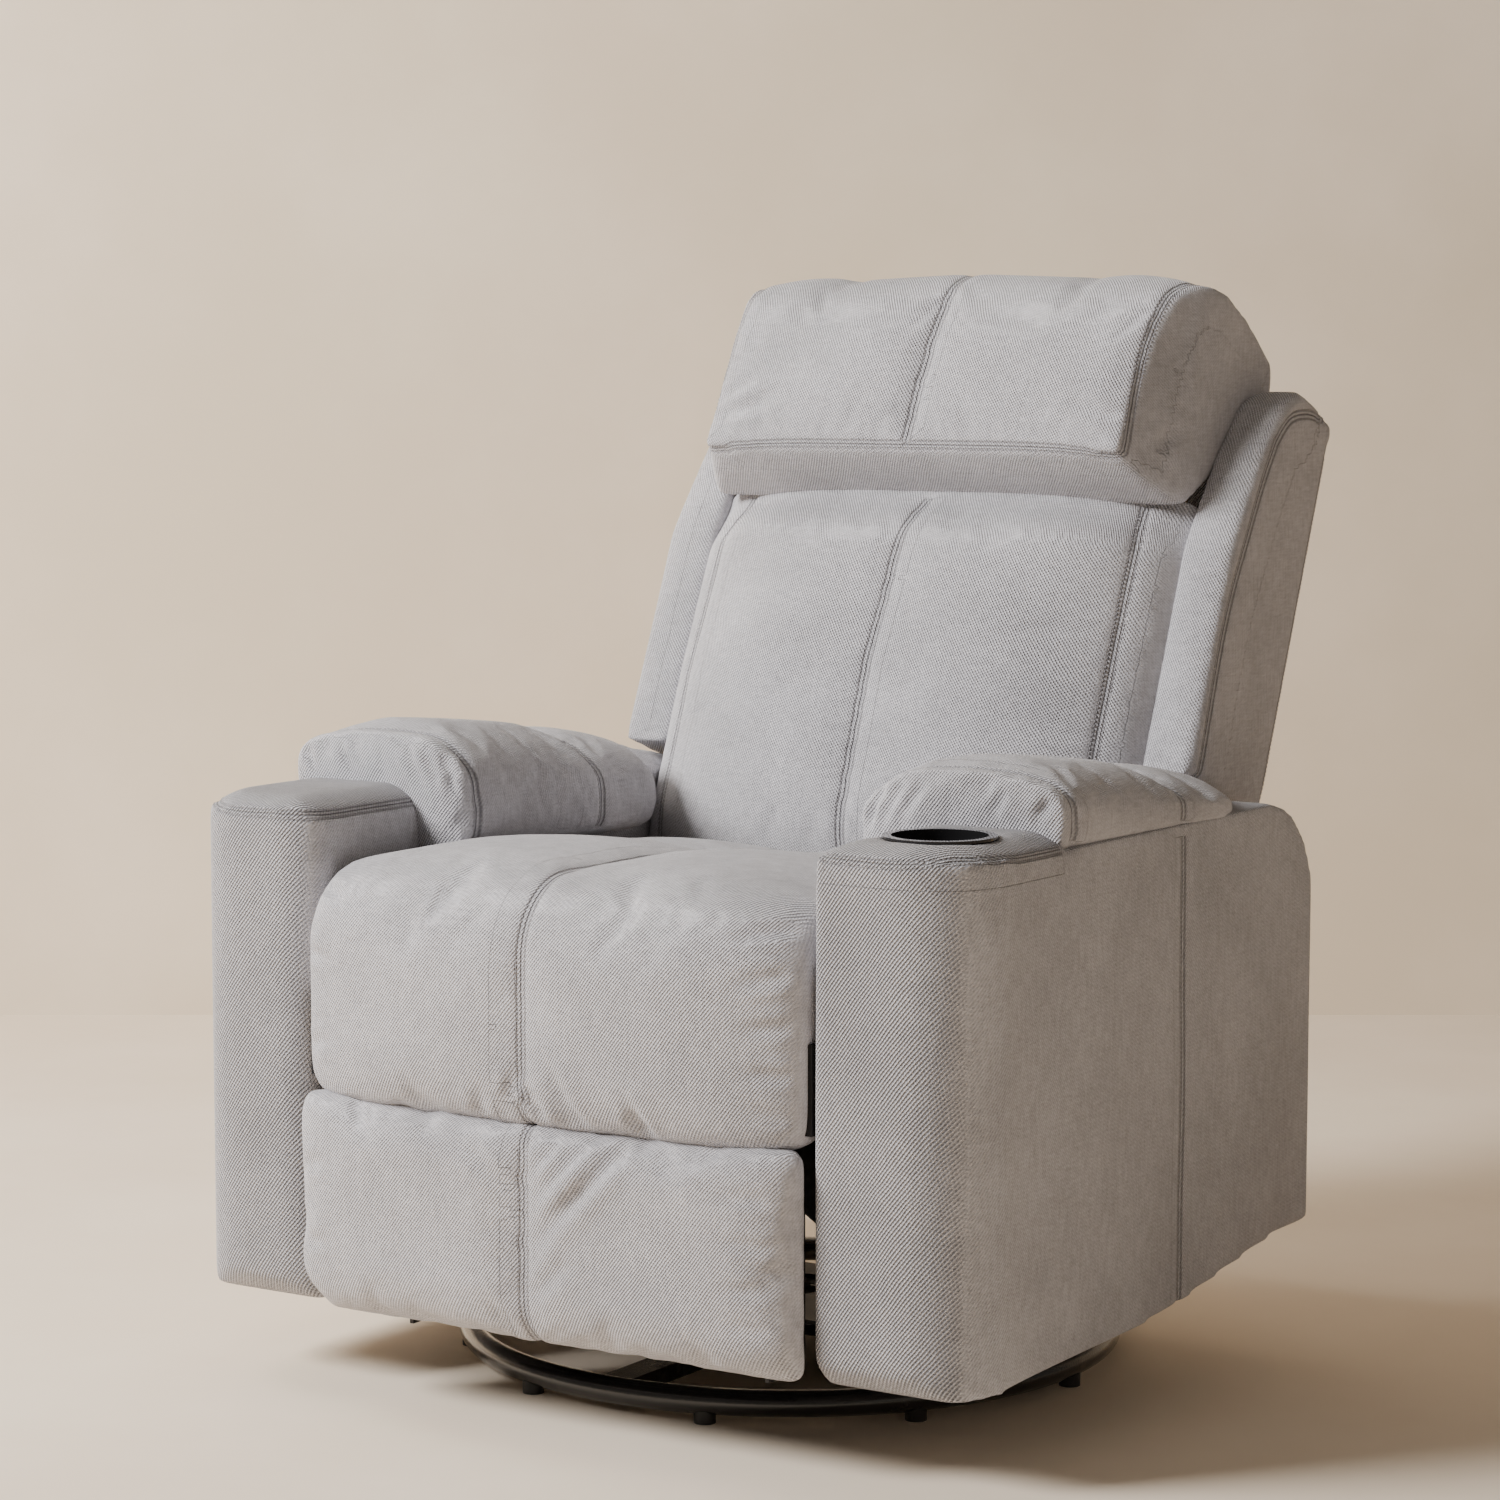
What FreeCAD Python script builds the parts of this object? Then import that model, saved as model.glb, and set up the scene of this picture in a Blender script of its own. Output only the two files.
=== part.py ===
import FreeCAD, Part
import math
import os
import Sketcher

# A swivel-glider recliner: a tubular floor ring, a swivelling carriage, a seat hung on four
# glide links, a reclining winged back and a scissor footrest.
# Millimetres, +Z up.  The front is towards -Y.  The origin is on the floor under the middle.

Vector = FreeCAD.Vector
document = FreeCAD.newDocument("glider_chair")
sheet = document.addObject("Spreadsheet::Sheet", "sizes")
nodes = []


class Dim:
    """A size that knows its value and the sheet formula that gives it."""

    def __init__(self, value, formula):
        self.value = float(value)
        self.formula = formula

    def __add__(self, other):
        other = as_dim(other)
        return Dim(self.value + other.value, f"({self.formula} + {other.formula})")

    def __sub__(self, other):
        other = as_dim(other)
        return Dim(self.value - other.value, f"({self.formula} - {other.formula})")

    def __mul__(self, other):
        other = as_dim(other)
        return Dim(self.value * other.value, f"({self.formula} * {other.formula})")

    def __truediv__(self, other):
        other = as_dim(other)
        return Dim(self.value / other.value, f"({self.formula} / {other.formula})")

    def __neg__(self):
        return Dim(-self.value, f"(0 - {self.formula})")

    def __radd__(self, other):
        return as_dim(other) + self

    def __rsub__(self, other):
        return as_dim(other) - self

    def __rmul__(self, other):
        return as_dim(other) * self


def as_dim(number):
    """Wrap a plain number, so that it can stand beside a Dim."""
    if isinstance(number, Dim):
        return number
    return Dim(number, f"({float(number)!r})")


def sine(angle):
    return Dim(math.sin(math.radians(angle.value)), f"sin({angle.formula})")


def cosine(angle):
    return Dim(math.cos(math.radians(angle.value)), f"cos({angle.formula})")


def size(alias, value):
    """Write a driving dimension to the sheet, and return it."""
    row = size.rows = getattr(size, "rows", 0) + 1
    sheet.set(f"A{row}", alias)
    sheet.set(f"B{row}", str(value))
    sheet.setAlias(f"B{row}", alias)
    return Dim(value, f"sizes.{alias}")


# ---- driving dimensions ---------------------------------------------------------------------

# Overall
chair_width = size("chair_width", 860)
seat_height = size("seat_height", 512)
front_reach = size("front_reach", 480)
swivel_set_forward = size("swivel_set_forward", 34)

# Floor ring and swivel bearing
ring_radius = size("ring_radius", 312)
ring_tube_radius = size("ring_tube_radius", 12.5)
foot_radius = size("foot_radius", 10)
foot_height = size("foot_height", 8)
foot_count = 10
spoke_width = size("spoke_width", 32)
spoke_depth = size("spoke_depth", 16)
hub_radius = size("hub_radius", 80)
hub_thickness = size("hub_thickness", 6)
race_radius = size("race_radius", 65)
race_half_width = size("race_half_width", 10)
race_height = size("race_height", 8)
ball_radius = size("ball_radius", 5)
ball_play = size("ball_play", 0.1)
ball_count = 20
bolt_radius = size("bolt_radius", 4)
plate_thickness = size("plate_thickness", 4)

# Carriage and glide links
carriage_half_width = size("carriage_half_width", 176)
glide_pivot_height = size("glide_pivot_height", 275)
glide_link_length = size("glide_link_length", 150)
glide_front_offset = size("glide_front_offset", 100)
glide_rear_offset = size("glide_rear_offset", 70)
link_half_width = size("link_half_width", 12)
link_thickness = size("link_thickness", 6)
pin_radius = size("pin_radius", 5)
pin_play = size("pin_play", 0.08)

# Seat
mechanism_half_width = size("mechanism_half_width", 200)
plate_nose = size("plate_nose", 18)
pivot_ear_half = size("pivot_ear_half", 25)
cross_tube_radius = size("cross_tube_radius", 12)
cushion_thickness = size("cushion_thickness", 127)
cushion_gap = size("cushion_gap", 6)
roll_depth = size("roll_depth", 46)
rail_thickness = size("rail_thickness", 24)
rail_height = size("rail_height", 80)
spring_gap = size("spring_gap", 5)
spring_wire_radius = size("spring_wire_radius", 1.8)
seat_rear = size("seat_rear", 19)
fabric_round = size("fabric_round", 14)
pad_round = size("pad_round", 8)

# Arms
arm_width = size("arm_width", 155)
arm_front_reach = size("arm_front_reach", 441)
arm_rear_reach = size("arm_rear_reach", 240)
arm_bottom = size("arm_bottom", 80)
arm_bottom_rise = size("arm_bottom_rise", 40)
arm_rise = size("arm_rise", 43)
arm_column = size("arm_column", 40)
arm_panel = size("arm_panel", 12)
arm_rear_round = size("arm_rear_round", 100)
pad_front_reach = size("pad_front_reach", 271)
pad_height = size("pad_height", 94)
frame_board = size("frame_board", 18)
arm_frame_set_in = size("arm_frame_set_in", 120)
cup_radius = size("cup_radius", 42)
cup_wall = size("cup_wall", 2.5)
cup_depth = size("cup_depth", 62)
cup_lip = size("cup_lip", 8)
cup_column_gap = size("cup_column_gap", 48)

# Footrest
footrest_gap = size("footrest_gap", 7)
footrest_height = size("footrest_height", 197)
footrest_thickness = size("footrest_thickness", 45)
board_thickness = size("board_thickness", 12)
scissor_length = size("scissor_length", 185)
scissor_rest_angle = size("scissor_rest_angle", 7)
scissor_open_angle = size("scissor_open_angle", 83)
scissor_half_width = size("scissor_half_width", 8)
stud_radius = size("stud_radius", 4)
stud_play = size("stud_play", 0.08)
open_pivot_play = size("open_pivot_play", 0.4)
layer_gap = size("layer_gap", 2)

# Back
back_pivot = size("back_pivot", 59)
back_pivot_rise = size("back_pivot_rise", 5)
back_tilt = size("back_tilt", 22.4)
back_height = size("back_height", 620)
back_depth = size("back_depth", 200)
wing_start = size("wing_start", 214)
wing_thickness = size("wing_thickness", 52)
wing_inset = size("wing_inset", 95)
headrest_thickness = size("headrest_thickness", 100)
post_width = size("post_width", 30)
post_depth = size("post_depth", 40)
post_front = size("post_front", 60)
rear_panel_thickness = size("rear_panel_thickness", 12)

# Release tab
tab_width = size("tab_width", 30)
tab_thickness = size("tab_thickness", 2)
tab_travel = size("tab_travel", 25)

document.recompute()

# ---- places worked out from the driving dimensions --------------------------------------------

half_width = chair_width / 2
inner = half_width - arm_width
swivel_y = -swivel_set_forward
ring_z = foot_height + ring_tube_radius
seat_deck = seat_height - cushion_thickness
rail_top = seat_deck - spring_gap
rail_bottom = rail_top - rail_height
arm_top = seat_height + arm_rise
back_pivot_z = seat_deck + back_pivot_rise
glide_front_y = swivel_y - glide_front_offset
glide_rear_y = swivel_y + glide_rear_offset
glide_lower_z = glide_pivot_height - glide_link_length
tilt = back_tilt


# ---- helpers ------------------------------------------------------------------------------------

def bind(thing, path, dim):
    thing.setExpression(path, as_dim(dim).formula)


def keep(thing, label):
    """Name a finished sub-part, and list it to be written."""
    thing.Label = label
    nodes.append(thing)
    return thing


def span(low, high, side=1):
    """A stretch along X, mirrored for side -1."""
    low = as_dim(low)
    high = as_dim(high)
    return (low, high) if side > 0 else (-high, -low)


def box(x, y, z):
    """A box between low and high values along each axis."""
    made = document.addObject("Part::Box", "box")
    for side_name, base_name, (low, high) in zip(("Length", "Width", "Height"), "xyz", (x, y, z)):
        bind(made, side_name, as_dim(high) - low)
        bind(made, f"Placement.Base.{base_name}", low)
    return made


AXIS_TURN = {
    "X": FreeCAD.Rotation(Vector(0, 1, 0), 90),
    "Y": FreeCAD.Rotation(Vector(1, 0, 0), -90),
    "Z": FreeCAD.Rotation(),
}


def cylinder(axis, radius, start, length):
    """A cylinder that starts at a point (x, y, z) and runs along an axis."""
    made = document.addObject("Part::Cylinder", "cylinder")
    made.Placement = FreeCAD.Placement(Vector(), AXIS_TURN[axis])
    bind(made, "Radius", radius)
    bind(made, "Height", length)
    for base_name, place in zip("xyz", start):
        bind(made, f"Placement.Base.{base_name}", place)
    return made


def cut(base, tool):
    made = document.addObject("Part::Cut", "cut")
    made.Base = base
    made.Tool = tool
    return made


def fuse(pieces):
    made = document.addObject("Part::MultiFuse", "fuse")
    made.Shapes = pieces
    return made


def group(pieces, label):
    """Several separate solids in one node."""
    made = document.addObject("Part::Compound", "group")
    made.Links = pieces
    return keep(made, label)


def plane_of(body, role):
    return next(item for item in body.Origin.OriginFeatures if item.Role == role)


def new_sketch(body, role):
    sketch = body.newObject("Sketcher::SketchObject", "sketch")
    sketch.AttachmentSupport = [(plane_of(body, role), "")]
    sketch.MapMode = "FlatFace"
    return sketch


def fix_point(sketch, edge, end, across, up):
    """Tie one end of an edge to a place from the sketch's origin."""
    for kind, dim in (("DistanceX", as_dim(across)), ("DistanceY", as_dim(up))):
        number = sketch.addConstraint(Sketcher.Constraint(kind, -1, 1, edge, end, dim.value))
        sketch.setExpression(f"Constraints[{number}]", dim.formula)


def add_outline(sketch, outline):
    """A closed run of straight lines through the outline's points."""
    points = [(as_dim(across), as_dim(up)) for across, up in outline]
    count = len(points)
    first = sketch.GeometryCount
    for number, (across, up) in enumerate(points):
        next_across, next_up = points[(number + 1) % count]
        start = Vector(across.value, up.value, 0)
        end = Vector(next_across.value, next_up.value, 0)
        sketch.addGeometry(Part.LineSegment(start, end), False)
    for number, (across, up) in enumerate(points):
        following = first + (number + 1) % count
        sketch.addConstraint(Sketcher.Constraint("Coincident", first + number, 2, following, 1))
        fix_point(sketch, first + number, 1, across, up)


def add_hole(sketch, across, up, radius):
    radius = as_dim(radius)
    centre = Vector(as_dim(across).value, as_dim(up).value, 0)
    edge = sketch.addGeometry(Part.Circle(centre, Vector(0, 0, 1), radius.value), False)
    fix_point(sketch, edge, 3, across, up)
    number = sketch.addConstraint(Sketcher.Constraint("Radius", edge, radius.value))
    sketch.setExpression(f"Constraints[{number}]", radius.formula)


def round_edges(body, feature, names, radius):
    if not names:
        raise RuntimeError(f"no edge to round on {body.Label}")
    fillet = body.newObject("PartDesign::Fillet", "fillet")
    fillet.Base = (feature, names)
    bind(fillet, "Radius", radius)
    document.recompute()
    return fillet


def corner_edges(feature, points, plane):
    """Names of the edges that stand across the outline at the given points."""
    names = []
    for number, edge in enumerate(feature.Shape.Edges, 1):
        if len(edge.Vertexes) != 2:
            continue
        one, two = (vertex.Point for vertex in edge.Vertexes)
        flat = [(p.y, p.z) if plane == "YZ" else (p.x, p.y) for p in (one, two)]
        for across, up in points:
            place = (as_dim(across).value, as_dim(up).value)
            if all(math.dist(place, end) < 0.01 for end in flat):
                names.append(f"Edge{number}")
    return names


def rim_edges(feature, level, plane):
    """Names of the edges that lie at one level of the extrusion."""
    names = []
    for number, edge in enumerate(feature.Shape.Edges, 1):
        limits = edge.BoundBox
        low, high = (limits.XMin, limits.XMax) if plane == "YZ" else (limits.ZMin, limits.ZMax)
        if abs(low - level) < 0.01 and abs(high - level) < 0.01:
            names.append(f"Edge{number}")
    return names


def extruded(outline, stretch, plane="YZ", rounds=(), rim=None, rims=(0, 1), holes=(),
             place=None, turn=None):
    """A body drawn in a plane and padded across it.

    stretch is the (low, high) reach across the plane.  rounds is a list of (point numbers,
    radius).  rim rounds the rim of the low (0) and high (1) faces.  place is the (y, z) of a
    local frame that is turned about X by turn degrees.
    """
    body = document.addObject("PartDesign::Body", "body")
    low, high = as_dim(stretch[0]), as_dim(stretch[1])
    if turn is not None:
        body.Placement = FreeCAD.Placement(Vector(), FreeCAD.Rotation(Vector(1, 0, 0), -1))
        bind(body, "Placement.Rotation.Angle", turn)
        bind(body, "Placement.Base.y", place[0])
        bind(body, "Placement.Base.z", place[1])
    bind(body, "Placement.Base." + ("x" if plane == "YZ" else "z"), low)
    sketch = new_sketch(body, "YZ_Plane" if plane == "YZ" else "XY_Plane")
    add_outline(sketch, outline)
    for hole in holes:
        add_hole(sketch, *hole)
    pad = body.newObject("PartDesign::Pad", "pad")
    pad.Profile = sketch
    bind(pad, "Length", high - low)
    document.recompute()
    feature = pad
    for numbers, radius in rounds:
        names = corner_edges(feature, [outline[number] for number in numbers], plane)
        feature = round_edges(body, feature, names, radius)
    if rim is not None:
        reach = (high - low).value
        names = [name for end in rims for name in rim_edges(feature, end * reach, plane)]
        round_edges(body, feature, names, rim)
    return body


def turned(profile, x, y, z):
    """A body of revolution about a vertical axis; the profile is (radius, height)."""
    body = document.addObject("PartDesign::Body", "body")
    for name, dim in zip("xyz", (x, y, z)):
        bind(body, f"Placement.Base.{name}", dim)
    sketch = new_sketch(body, "XZ_Plane")
    add_outline(sketch, profile)
    spin = body.newObject("PartDesign::Revolution", "turned")
    spin.Profile = sketch
    spin.ReferenceAxis = (sketch, ["V_Axis"])
    spin.Angle = 360
    document.recompute()
    return body


def link(place, angle, length, half, stretch, holes=(), studs=()):
    """A flat bar with round ends that hangs from a place (y, z), turned about X by angle.

    holes is a list of (distance down the bar, radius) and studs of (distance, radius, (low,
    high) reach along X), both measured from the upper centre.
    """
    length = as_dim(length)
    half = as_dim(half)
    low, high = as_dim(stretch[0]), as_dim(stretch[1])
    body = document.addObject("PartDesign::Body", "body")
    body.Placement = FreeCAD.Placement(Vector(), FreeCAD.Rotation(Vector(1, 0, 0), 1))
    bind(body, "Placement.Rotation.Angle", angle)
    for name, dim in zip("xyz", (low, place[0], place[1])):
        bind(body, f"Placement.Base.{name}", dim)
    sketch = new_sketch(body, "YZ_Plane")
    wide = half.value
    down = -length.value
    up_axis = Vector(0, 0, 1)
    lower = Part.Circle(Vector(0, down, 0), up_axis, wide)
    upper = Part.Circle(Vector(0, 0, 0), up_axis, wide)
    sketch.addGeometry(Part.LineSegment(Vector(wide, 0, 0), Vector(wide, down, 0)), False)
    sketch.addGeometry(Part.ArcOfCircle(lower, math.pi, 0), False)
    sketch.addGeometry(Part.LineSegment(Vector(-wide, down, 0), Vector(-wide, 0, 0)), False)
    sketch.addGeometry(Part.ArcOfCircle(upper, 0, math.pi), False)
    rule = Sketcher.Constraint
    sketch.addConstraint(rule("Coincident", 3, 3, -1, 1))
    sketch.addConstraint(rule("PointOnObject", 1, 3, -2))
    for line, line_end, arc, arc_end in ((0, 1, 3, 1), (0, 2, 1, 2), (2, 1, 1, 1), (2, 2, 3, 2)):
        sketch.addConstraint(rule("Tangent", line, line_end, arc, arc_end))
    number = sketch.addConstraint(rule("Radius", 3, wide))
    sketch.setExpression(f"Constraints[{number}]", half.formula)
    number = sketch.addConstraint(rule("DistanceY", 1, 3, -1, 1, length.value))
    sketch.setExpression(f"Constraints[{number}]", length.formula)
    for distance, radius in holes:
        add_hole(sketch, 0, -as_dim(distance), radius)
    pad = body.newObject("PartDesign::Pad", "bar")
    pad.Profile = sketch
    bind(pad, "Length", high - low)
    for distance, radius, (stud_low, stud_high) in studs:
        stud_sketch = new_sketch(body, "YZ_Plane")
        bind(stud_sketch, "AttachmentOffset.Base.z", as_dim(stud_low) - low)
        add_hole(stud_sketch, 0, -as_dim(distance), radius)
        stud = body.newObject("PartDesign::Pad", "stud")
        stud.Profile = stud_sketch
        bind(stud, "Length", as_dim(stud_high) - stud_low)
    document.recompute()
    return body


def ring_places(count, radius, start=0):
    """Places evenly round the swivel axis, as (x, y) pairs."""
    places = []
    for number in range(count):
        angle = as_dim(start + 360 * number / count)
        places.append((radius * cosine(angle), swivel_y + radius * sine(angle)))
    return places


def zigzag_spring(start, along, across, length, half, pitch, wire):
    """A sinuous wire spring: straight runs across, joined by half-round bends."""
    edges = []
    side = 1
    runs = int(length // pitch)
    point = start - across * half
    for number in range(runs):
        turn_start = point + across * (2 * half * side)
        edges.append(Part.LineSegment(point, turn_start).toShape())
        middle = turn_start + along * (pitch / 2) + across * (pitch / 2 * side)
        turn_end = turn_start + along * pitch
        edges.append(Part.Arc(turn_start, middle, turn_end).toShape())
        point = turn_end
        side = -side
    edges.append(Part.LineSegment(point, point + across * (2 * half * side)).toShape())
    path = Part.Wire(edges)
    section = Part.Wire([Part.Circle(start - across * half, across, wire).toShape()])
    return path.makePipeShell([section], True, False)


def spring_group(springs, label):
    made = document.addObject("Part::Feature", "springs")
    made.Shape = Part.makeCompound(springs)
    return keep(made, label)


# ---- floor ring: what stands on the floor -----------------------------------------------------------

ring = document.addObject("Part::Torus", "ring")
bind(ring, "Radius1", ring_radius)
bind(ring, "Radius2", ring_tube_radius)
bind(ring, "Placement.Base.y", swivel_y)
bind(ring, "Placement.Base.z", ring_z)
keep(ring, "base_ring")

spoke_low = ring_z - spoke_depth / 2
spoke_high = ring_z + spoke_depth / 2

# Each foot is a short pad moulded to the underside of the tube.
feet = []
for foot_x, foot_y in ring_places(foot_count, ring_radius):
    block = cylinder("Z", foot_radius, (foot_x, foot_y, as_dim(0)), spoke_low)
    feet.append(cut(block, ring))
group(feet, "base_feet")

# Four flat tubes run from the ring to the hub.
half_spoke = spoke_width / 2
spokes = []
for direction in (1, -1):
    reach = span(half_spoke, ring_radius, direction)
    shifted = (reach[0] + swivel_y, reach[1] + swivel_y)
    flat = (-half_spoke, half_spoke)
    shifted_flat = (swivel_y - half_spoke, swivel_y + half_spoke)
    for x, y in ((reach, shifted_flat), (flat, shifted)):
        spokes.append(cut(box(x, y, (spoke_low, spoke_high)), ring))
group(spokes, "base_spokes")

hub_low = spoke_high
hub_high = hub_low + hub_thickness
hub_bore = race_radius - race_half_width * 2
hub_disc = [(hub_bore, 0), (hub_radius, 0), (hub_radius, hub_thickness), (hub_bore, hub_thickness)]
hub = turned(hub_disc, 0, swivel_y, hub_low)
keep(hub, "base_hub")


def race(bottom, label, groove_z):
    """A bearing ring with a ball groove."""
    low = race_radius - race_half_width
    high = race_radius + race_half_width
    blank = turned([(low, 0), (high, 0), (high, race_height), (low, race_height)],
                   0, swivel_y, bottom)
    groove = document.addObject("Part::Torus", "groove")
    bind(groove, "Radius1", race_radius)
    bind(groove, "Radius2", ball_radius)
    bind(groove, "Placement.Base.y", swivel_y)
    bind(groove, "Placement.Base.z", groove_z)
    return keep(cut(blank, groove), label)


race_split = ball_radius / 2
ball_z = hub_high + race_height + race_split / 2
race(hub_high, "lower_race", ball_z)

balls = []
for ball_x, ball_y in ring_places(ball_count, race_radius):
    ball = document.addObject("Part::Sphere", "ball")
    bind(ball, "Radius", ball_radius - ball_play)
    for name, dim in zip("xyz", (ball_x, ball_y, ball_z)):
        bind(ball, f"Placement.Base.{name}", dim)
    balls.append(ball)
group(balls, "bearing_balls")

# ---- carriage: turns on the bearing and carries the glide pivots --------------------------------------

upper_race_low = ball_z + race_split / 2
race(upper_race_low, "upper_race", ball_z)

deck_low = upper_race_low + race_height
deck_high = deck_low + plate_thickness
carriage_front = glide_front_y - link_half_width - plate_thickness
carriage_rear = glide_rear_y + link_half_width + plate_thickness
swivel_plate = extruded(
    [(-carriage_half_width, carriage_front), (carriage_half_width, carriage_front),
     (carriage_half_width, carriage_rear), (-carriage_half_width, carriage_rear)],
    (deck_low, deck_high), plane="XY", rounds=[((0, 1, 2, 3), 12)],
    holes=[(0, swivel_y, race_radius - race_half_width * 2)])
keep(swivel_plate, "swivel_plate")

# Countersunk screws hold the deck to the upper race.
deck_screws = [cylinder("Z", bolt_radius / 2, (x, y, deck_high), plate_thickness / 2)
               for x, y in ring_places(6, race_radius, 30)]
group(deck_screws, "deck_screws")

glide_top = glide_pivot_height + link_half_width
side_inner = carriage_half_width - plate_thickness
link_inner = carriage_half_width + plate_thickness
link_outer = link_inner + link_thickness
plate_inner = mechanism_half_width - plate_thickness
sides = (("left", -1), ("right", 1))
for name, side in sides:
    upright = extruded(
        [(carriage_front, deck_high), (carriage_rear, deck_high),
         (carriage_rear, glide_top - link_half_width),
         (glide_rear_y + link_half_width / 2, glide_top),
         (glide_front_y - link_half_width / 2, glide_top),
         (carriage_front, glide_top - link_half_width)],
        span(side_inner, carriage_half_width, side),
        holes=[(y, glide_pivot_height, pin_radius) for y in (glide_front_y, glide_rear_y)])
    keep(upright, f"carriage_side_{name}")

upper_pins = []
for name, side in sides:
    for y in (glide_front_y, glide_rear_y):
        low, high = span(side_inner, link_outer + layer_gap, side)
        upper_pins.append(cylinder("X", pin_radius, (low, y, glide_pivot_height), high - low))
group(upper_pins, "carriage_pivot_pins")

# ---- glide links: the seat hangs on four equal bars ----------------------------------------------------

for place_name, y in (("front", glide_front_y), ("rear", glide_rear_y)):
    lower_play = pin_play if place_name == "front" else open_pivot_play
    for name, side in sides:
        bar = link((y, glide_pivot_height), 0, glide_link_length, link_half_width,
                   span(link_inner, link_outer, side),
                   holes=[(0, pin_radius + pin_play), (glide_link_length, pin_radius + lower_play)])
        keep(bar, f"glide_link_{place_name}_{name}")

# ---- seat mechanism: steel side plates under the seat --------------------------------------------------

# The scissor footrest starts at a fixed pivot; its slide stud runs in an upright slot below it.
footrest_front = front_reach - 2
footrest_top = rail_bottom - footrest_gap - 12
board_front = footrest_front - footrest_thickness
board_rear = board_front - board_thickness
scissor_z = footrest_top - 15
scissor_y = -(board_rear - 55)
slot_half = stud_radius + open_pivot_play
slot_top = scissor_z - scissor_length * cosine(scissor_open_angle) + slot_half + 1
slot_bottom = scissor_z - scissor_length * cosine(scissor_rest_angle) - slot_half - 1
plate_bottom = glide_lower_z - 20
front_tube = (glide_front_y - 166, scissor_z - 4)
rear_tube = (glide_rear_y + 76, glide_lower_z + 25)
plate_outline = [
    (scissor_y - plate_nose, slot_bottom - 14),
    (scissor_y + plate_nose, slot_bottom - 14),
    (scissor_y + plate_nose + 10, glide_lower_z + 90),
    (glide_front_y - 36, plate_bottom),
    (glide_rear_y + 26, plate_bottom),
    (rear_tube[0] + 20, rear_tube[1] - 20),
    (rear_tube[0] + 20, rear_tube[1] + 20),
    (back_pivot + pivot_ear_half, rail_bottom),
    (back_pivot + pivot_ear_half, back_pivot_z + 8),
    (back_pivot + pivot_ear_half / 2, back_pivot_z + 22),
    (back_pivot - pivot_ear_half / 2, back_pivot_z + 22),
    (back_pivot - pivot_ear_half, back_pivot_z + 8),
    (back_pivot - pivot_ear_half, rail_bottom),
    (scissor_y - plate_nose, rail_bottom),
]
for name, side in sides:
    stretch = span(plate_inner, mechanism_half_width, side)
    plate = extruded(
        plate_outline, stretch,
        holes=[(glide_front_y, glide_lower_z, pin_radius),
               (glide_rear_y, glide_lower_z, pin_radius),
               (scissor_y, scissor_z, stud_radius),
               (back_pivot, back_pivot_z, pin_radius)])
    slot = box(stretch, (scissor_y - slot_half, scissor_y + slot_half), (slot_bottom, slot_top))
    keep(cut(plate, slot), f"mechanism_plate_{name}")

# Pins fixed in the side plates: two glide pins, the footrest pin and the recline pin a side.
layer_one = mechanism_half_width + layer_gap
layer_two = layer_one + plate_thickness + layer_gap
layer_end = layer_two + plate_thickness
chair_pins = []
for name, side in sides:
    for y in (glide_front_y, glide_rear_y):
        low, high = span(link_inner - layer_gap, mechanism_half_width, side)
        chair_pins.append(cylinder("X", pin_radius, (low, y, glide_lower_z), high - low))
    low, high = span(plate_inner, layer_end + layer_gap, side)
    chair_pins.append(cylinder("X", stud_radius, (low, scissor_y, scissor_z), high - low))
    low, high = span(plate_inner, layer_one + plate_thickness + layer_gap / 2, side)
    chair_pins.append(cylinder("X", pin_radius, (low, back_pivot, back_pivot_z), high - low))
group(chair_pins, "seat_pivot_pins")

cross_tubes = [cylinder("X", cross_tube_radius, (-plate_inner, y, z), plate_inner * 2)
               for y, z in (front_tube, rear_tube)]
group(cross_tubes, "cross_tubes")

# ---- seat frame, springs and cushion ---------------------------------------------------------------------

roll_rear = front_reach - roll_depth
front_rail_y = (-(roll_rear - 1), -(roll_rear - 1) + rail_thickness)
rear_rail_y = (seat_rear - 1 - rail_thickness, seat_rear - 1)
rail_z = (rail_bottom, rail_top)
group([box((-inner, inner), y, rail_z) for y in (front_rail_y, rear_rail_y)], "seat_cross_rails")
group([box(span(inner - rail_thickness, inner, side), (front_rail_y[1], rear_rail_y[0]), rail_z)
       for name, side in sides], "seat_side_rails")

# Steel strips carry the side rails on the side plates.
bracket_places = (front_rail_y[1] + 60, front_rail_y[1] + 290)
brackets = []
for name, side in sides:
    for start in bracket_places:
        brackets.append(box(span(mechanism_half_width, inner, side), (start, start + 50),
                            (rail_bottom - plate_thickness, rail_bottom)))
group(brackets, "rail_brackets")

spring_count = 5
spring_half = 22
spring_pitch = 24
spring_run = (rear_rail_y[1] - front_rail_y[0]).value - 20
seat_springs = []
for number in range(spring_count):
    spring_x = ((inner - 60) * (2 * number / (spring_count - 1) - 1)).value
    spring_z = (rail_top + spring_wire_radius + 0.2).value
    start = Vector(spring_x, (front_rail_y[0] + 12).value, spring_z)
    seat_springs.append(zigzag_spring(start, Vector(0, 1, 0), Vector(1, 0, 0), spring_run,
                                      spring_half, spring_pitch, spring_wire_radius.value))
spring_group(seat_springs, "seat_springs")

cushion_half = inner - cushion_gap
cushion_outline = [
    (seat_rear, seat_deck), (seat_rear, seat_height), (-front_reach, seat_height),
    (-front_reach, rail_bottom - 12), (-roll_rear, rail_bottom - 12), (-roll_rear, seat_deck),
]
seat_cushion = extruded(cushion_outline, (-cushion_half, cushion_half),
                        rounds=[((2,), 72), ((3,), 34), ((1,), 30)], rim=fabric_round)
keep(seat_cushion, "seat_cushion")

# ---- footrest: a scissor of four flat bars a side, a board and a pad --------------------------------------

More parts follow.
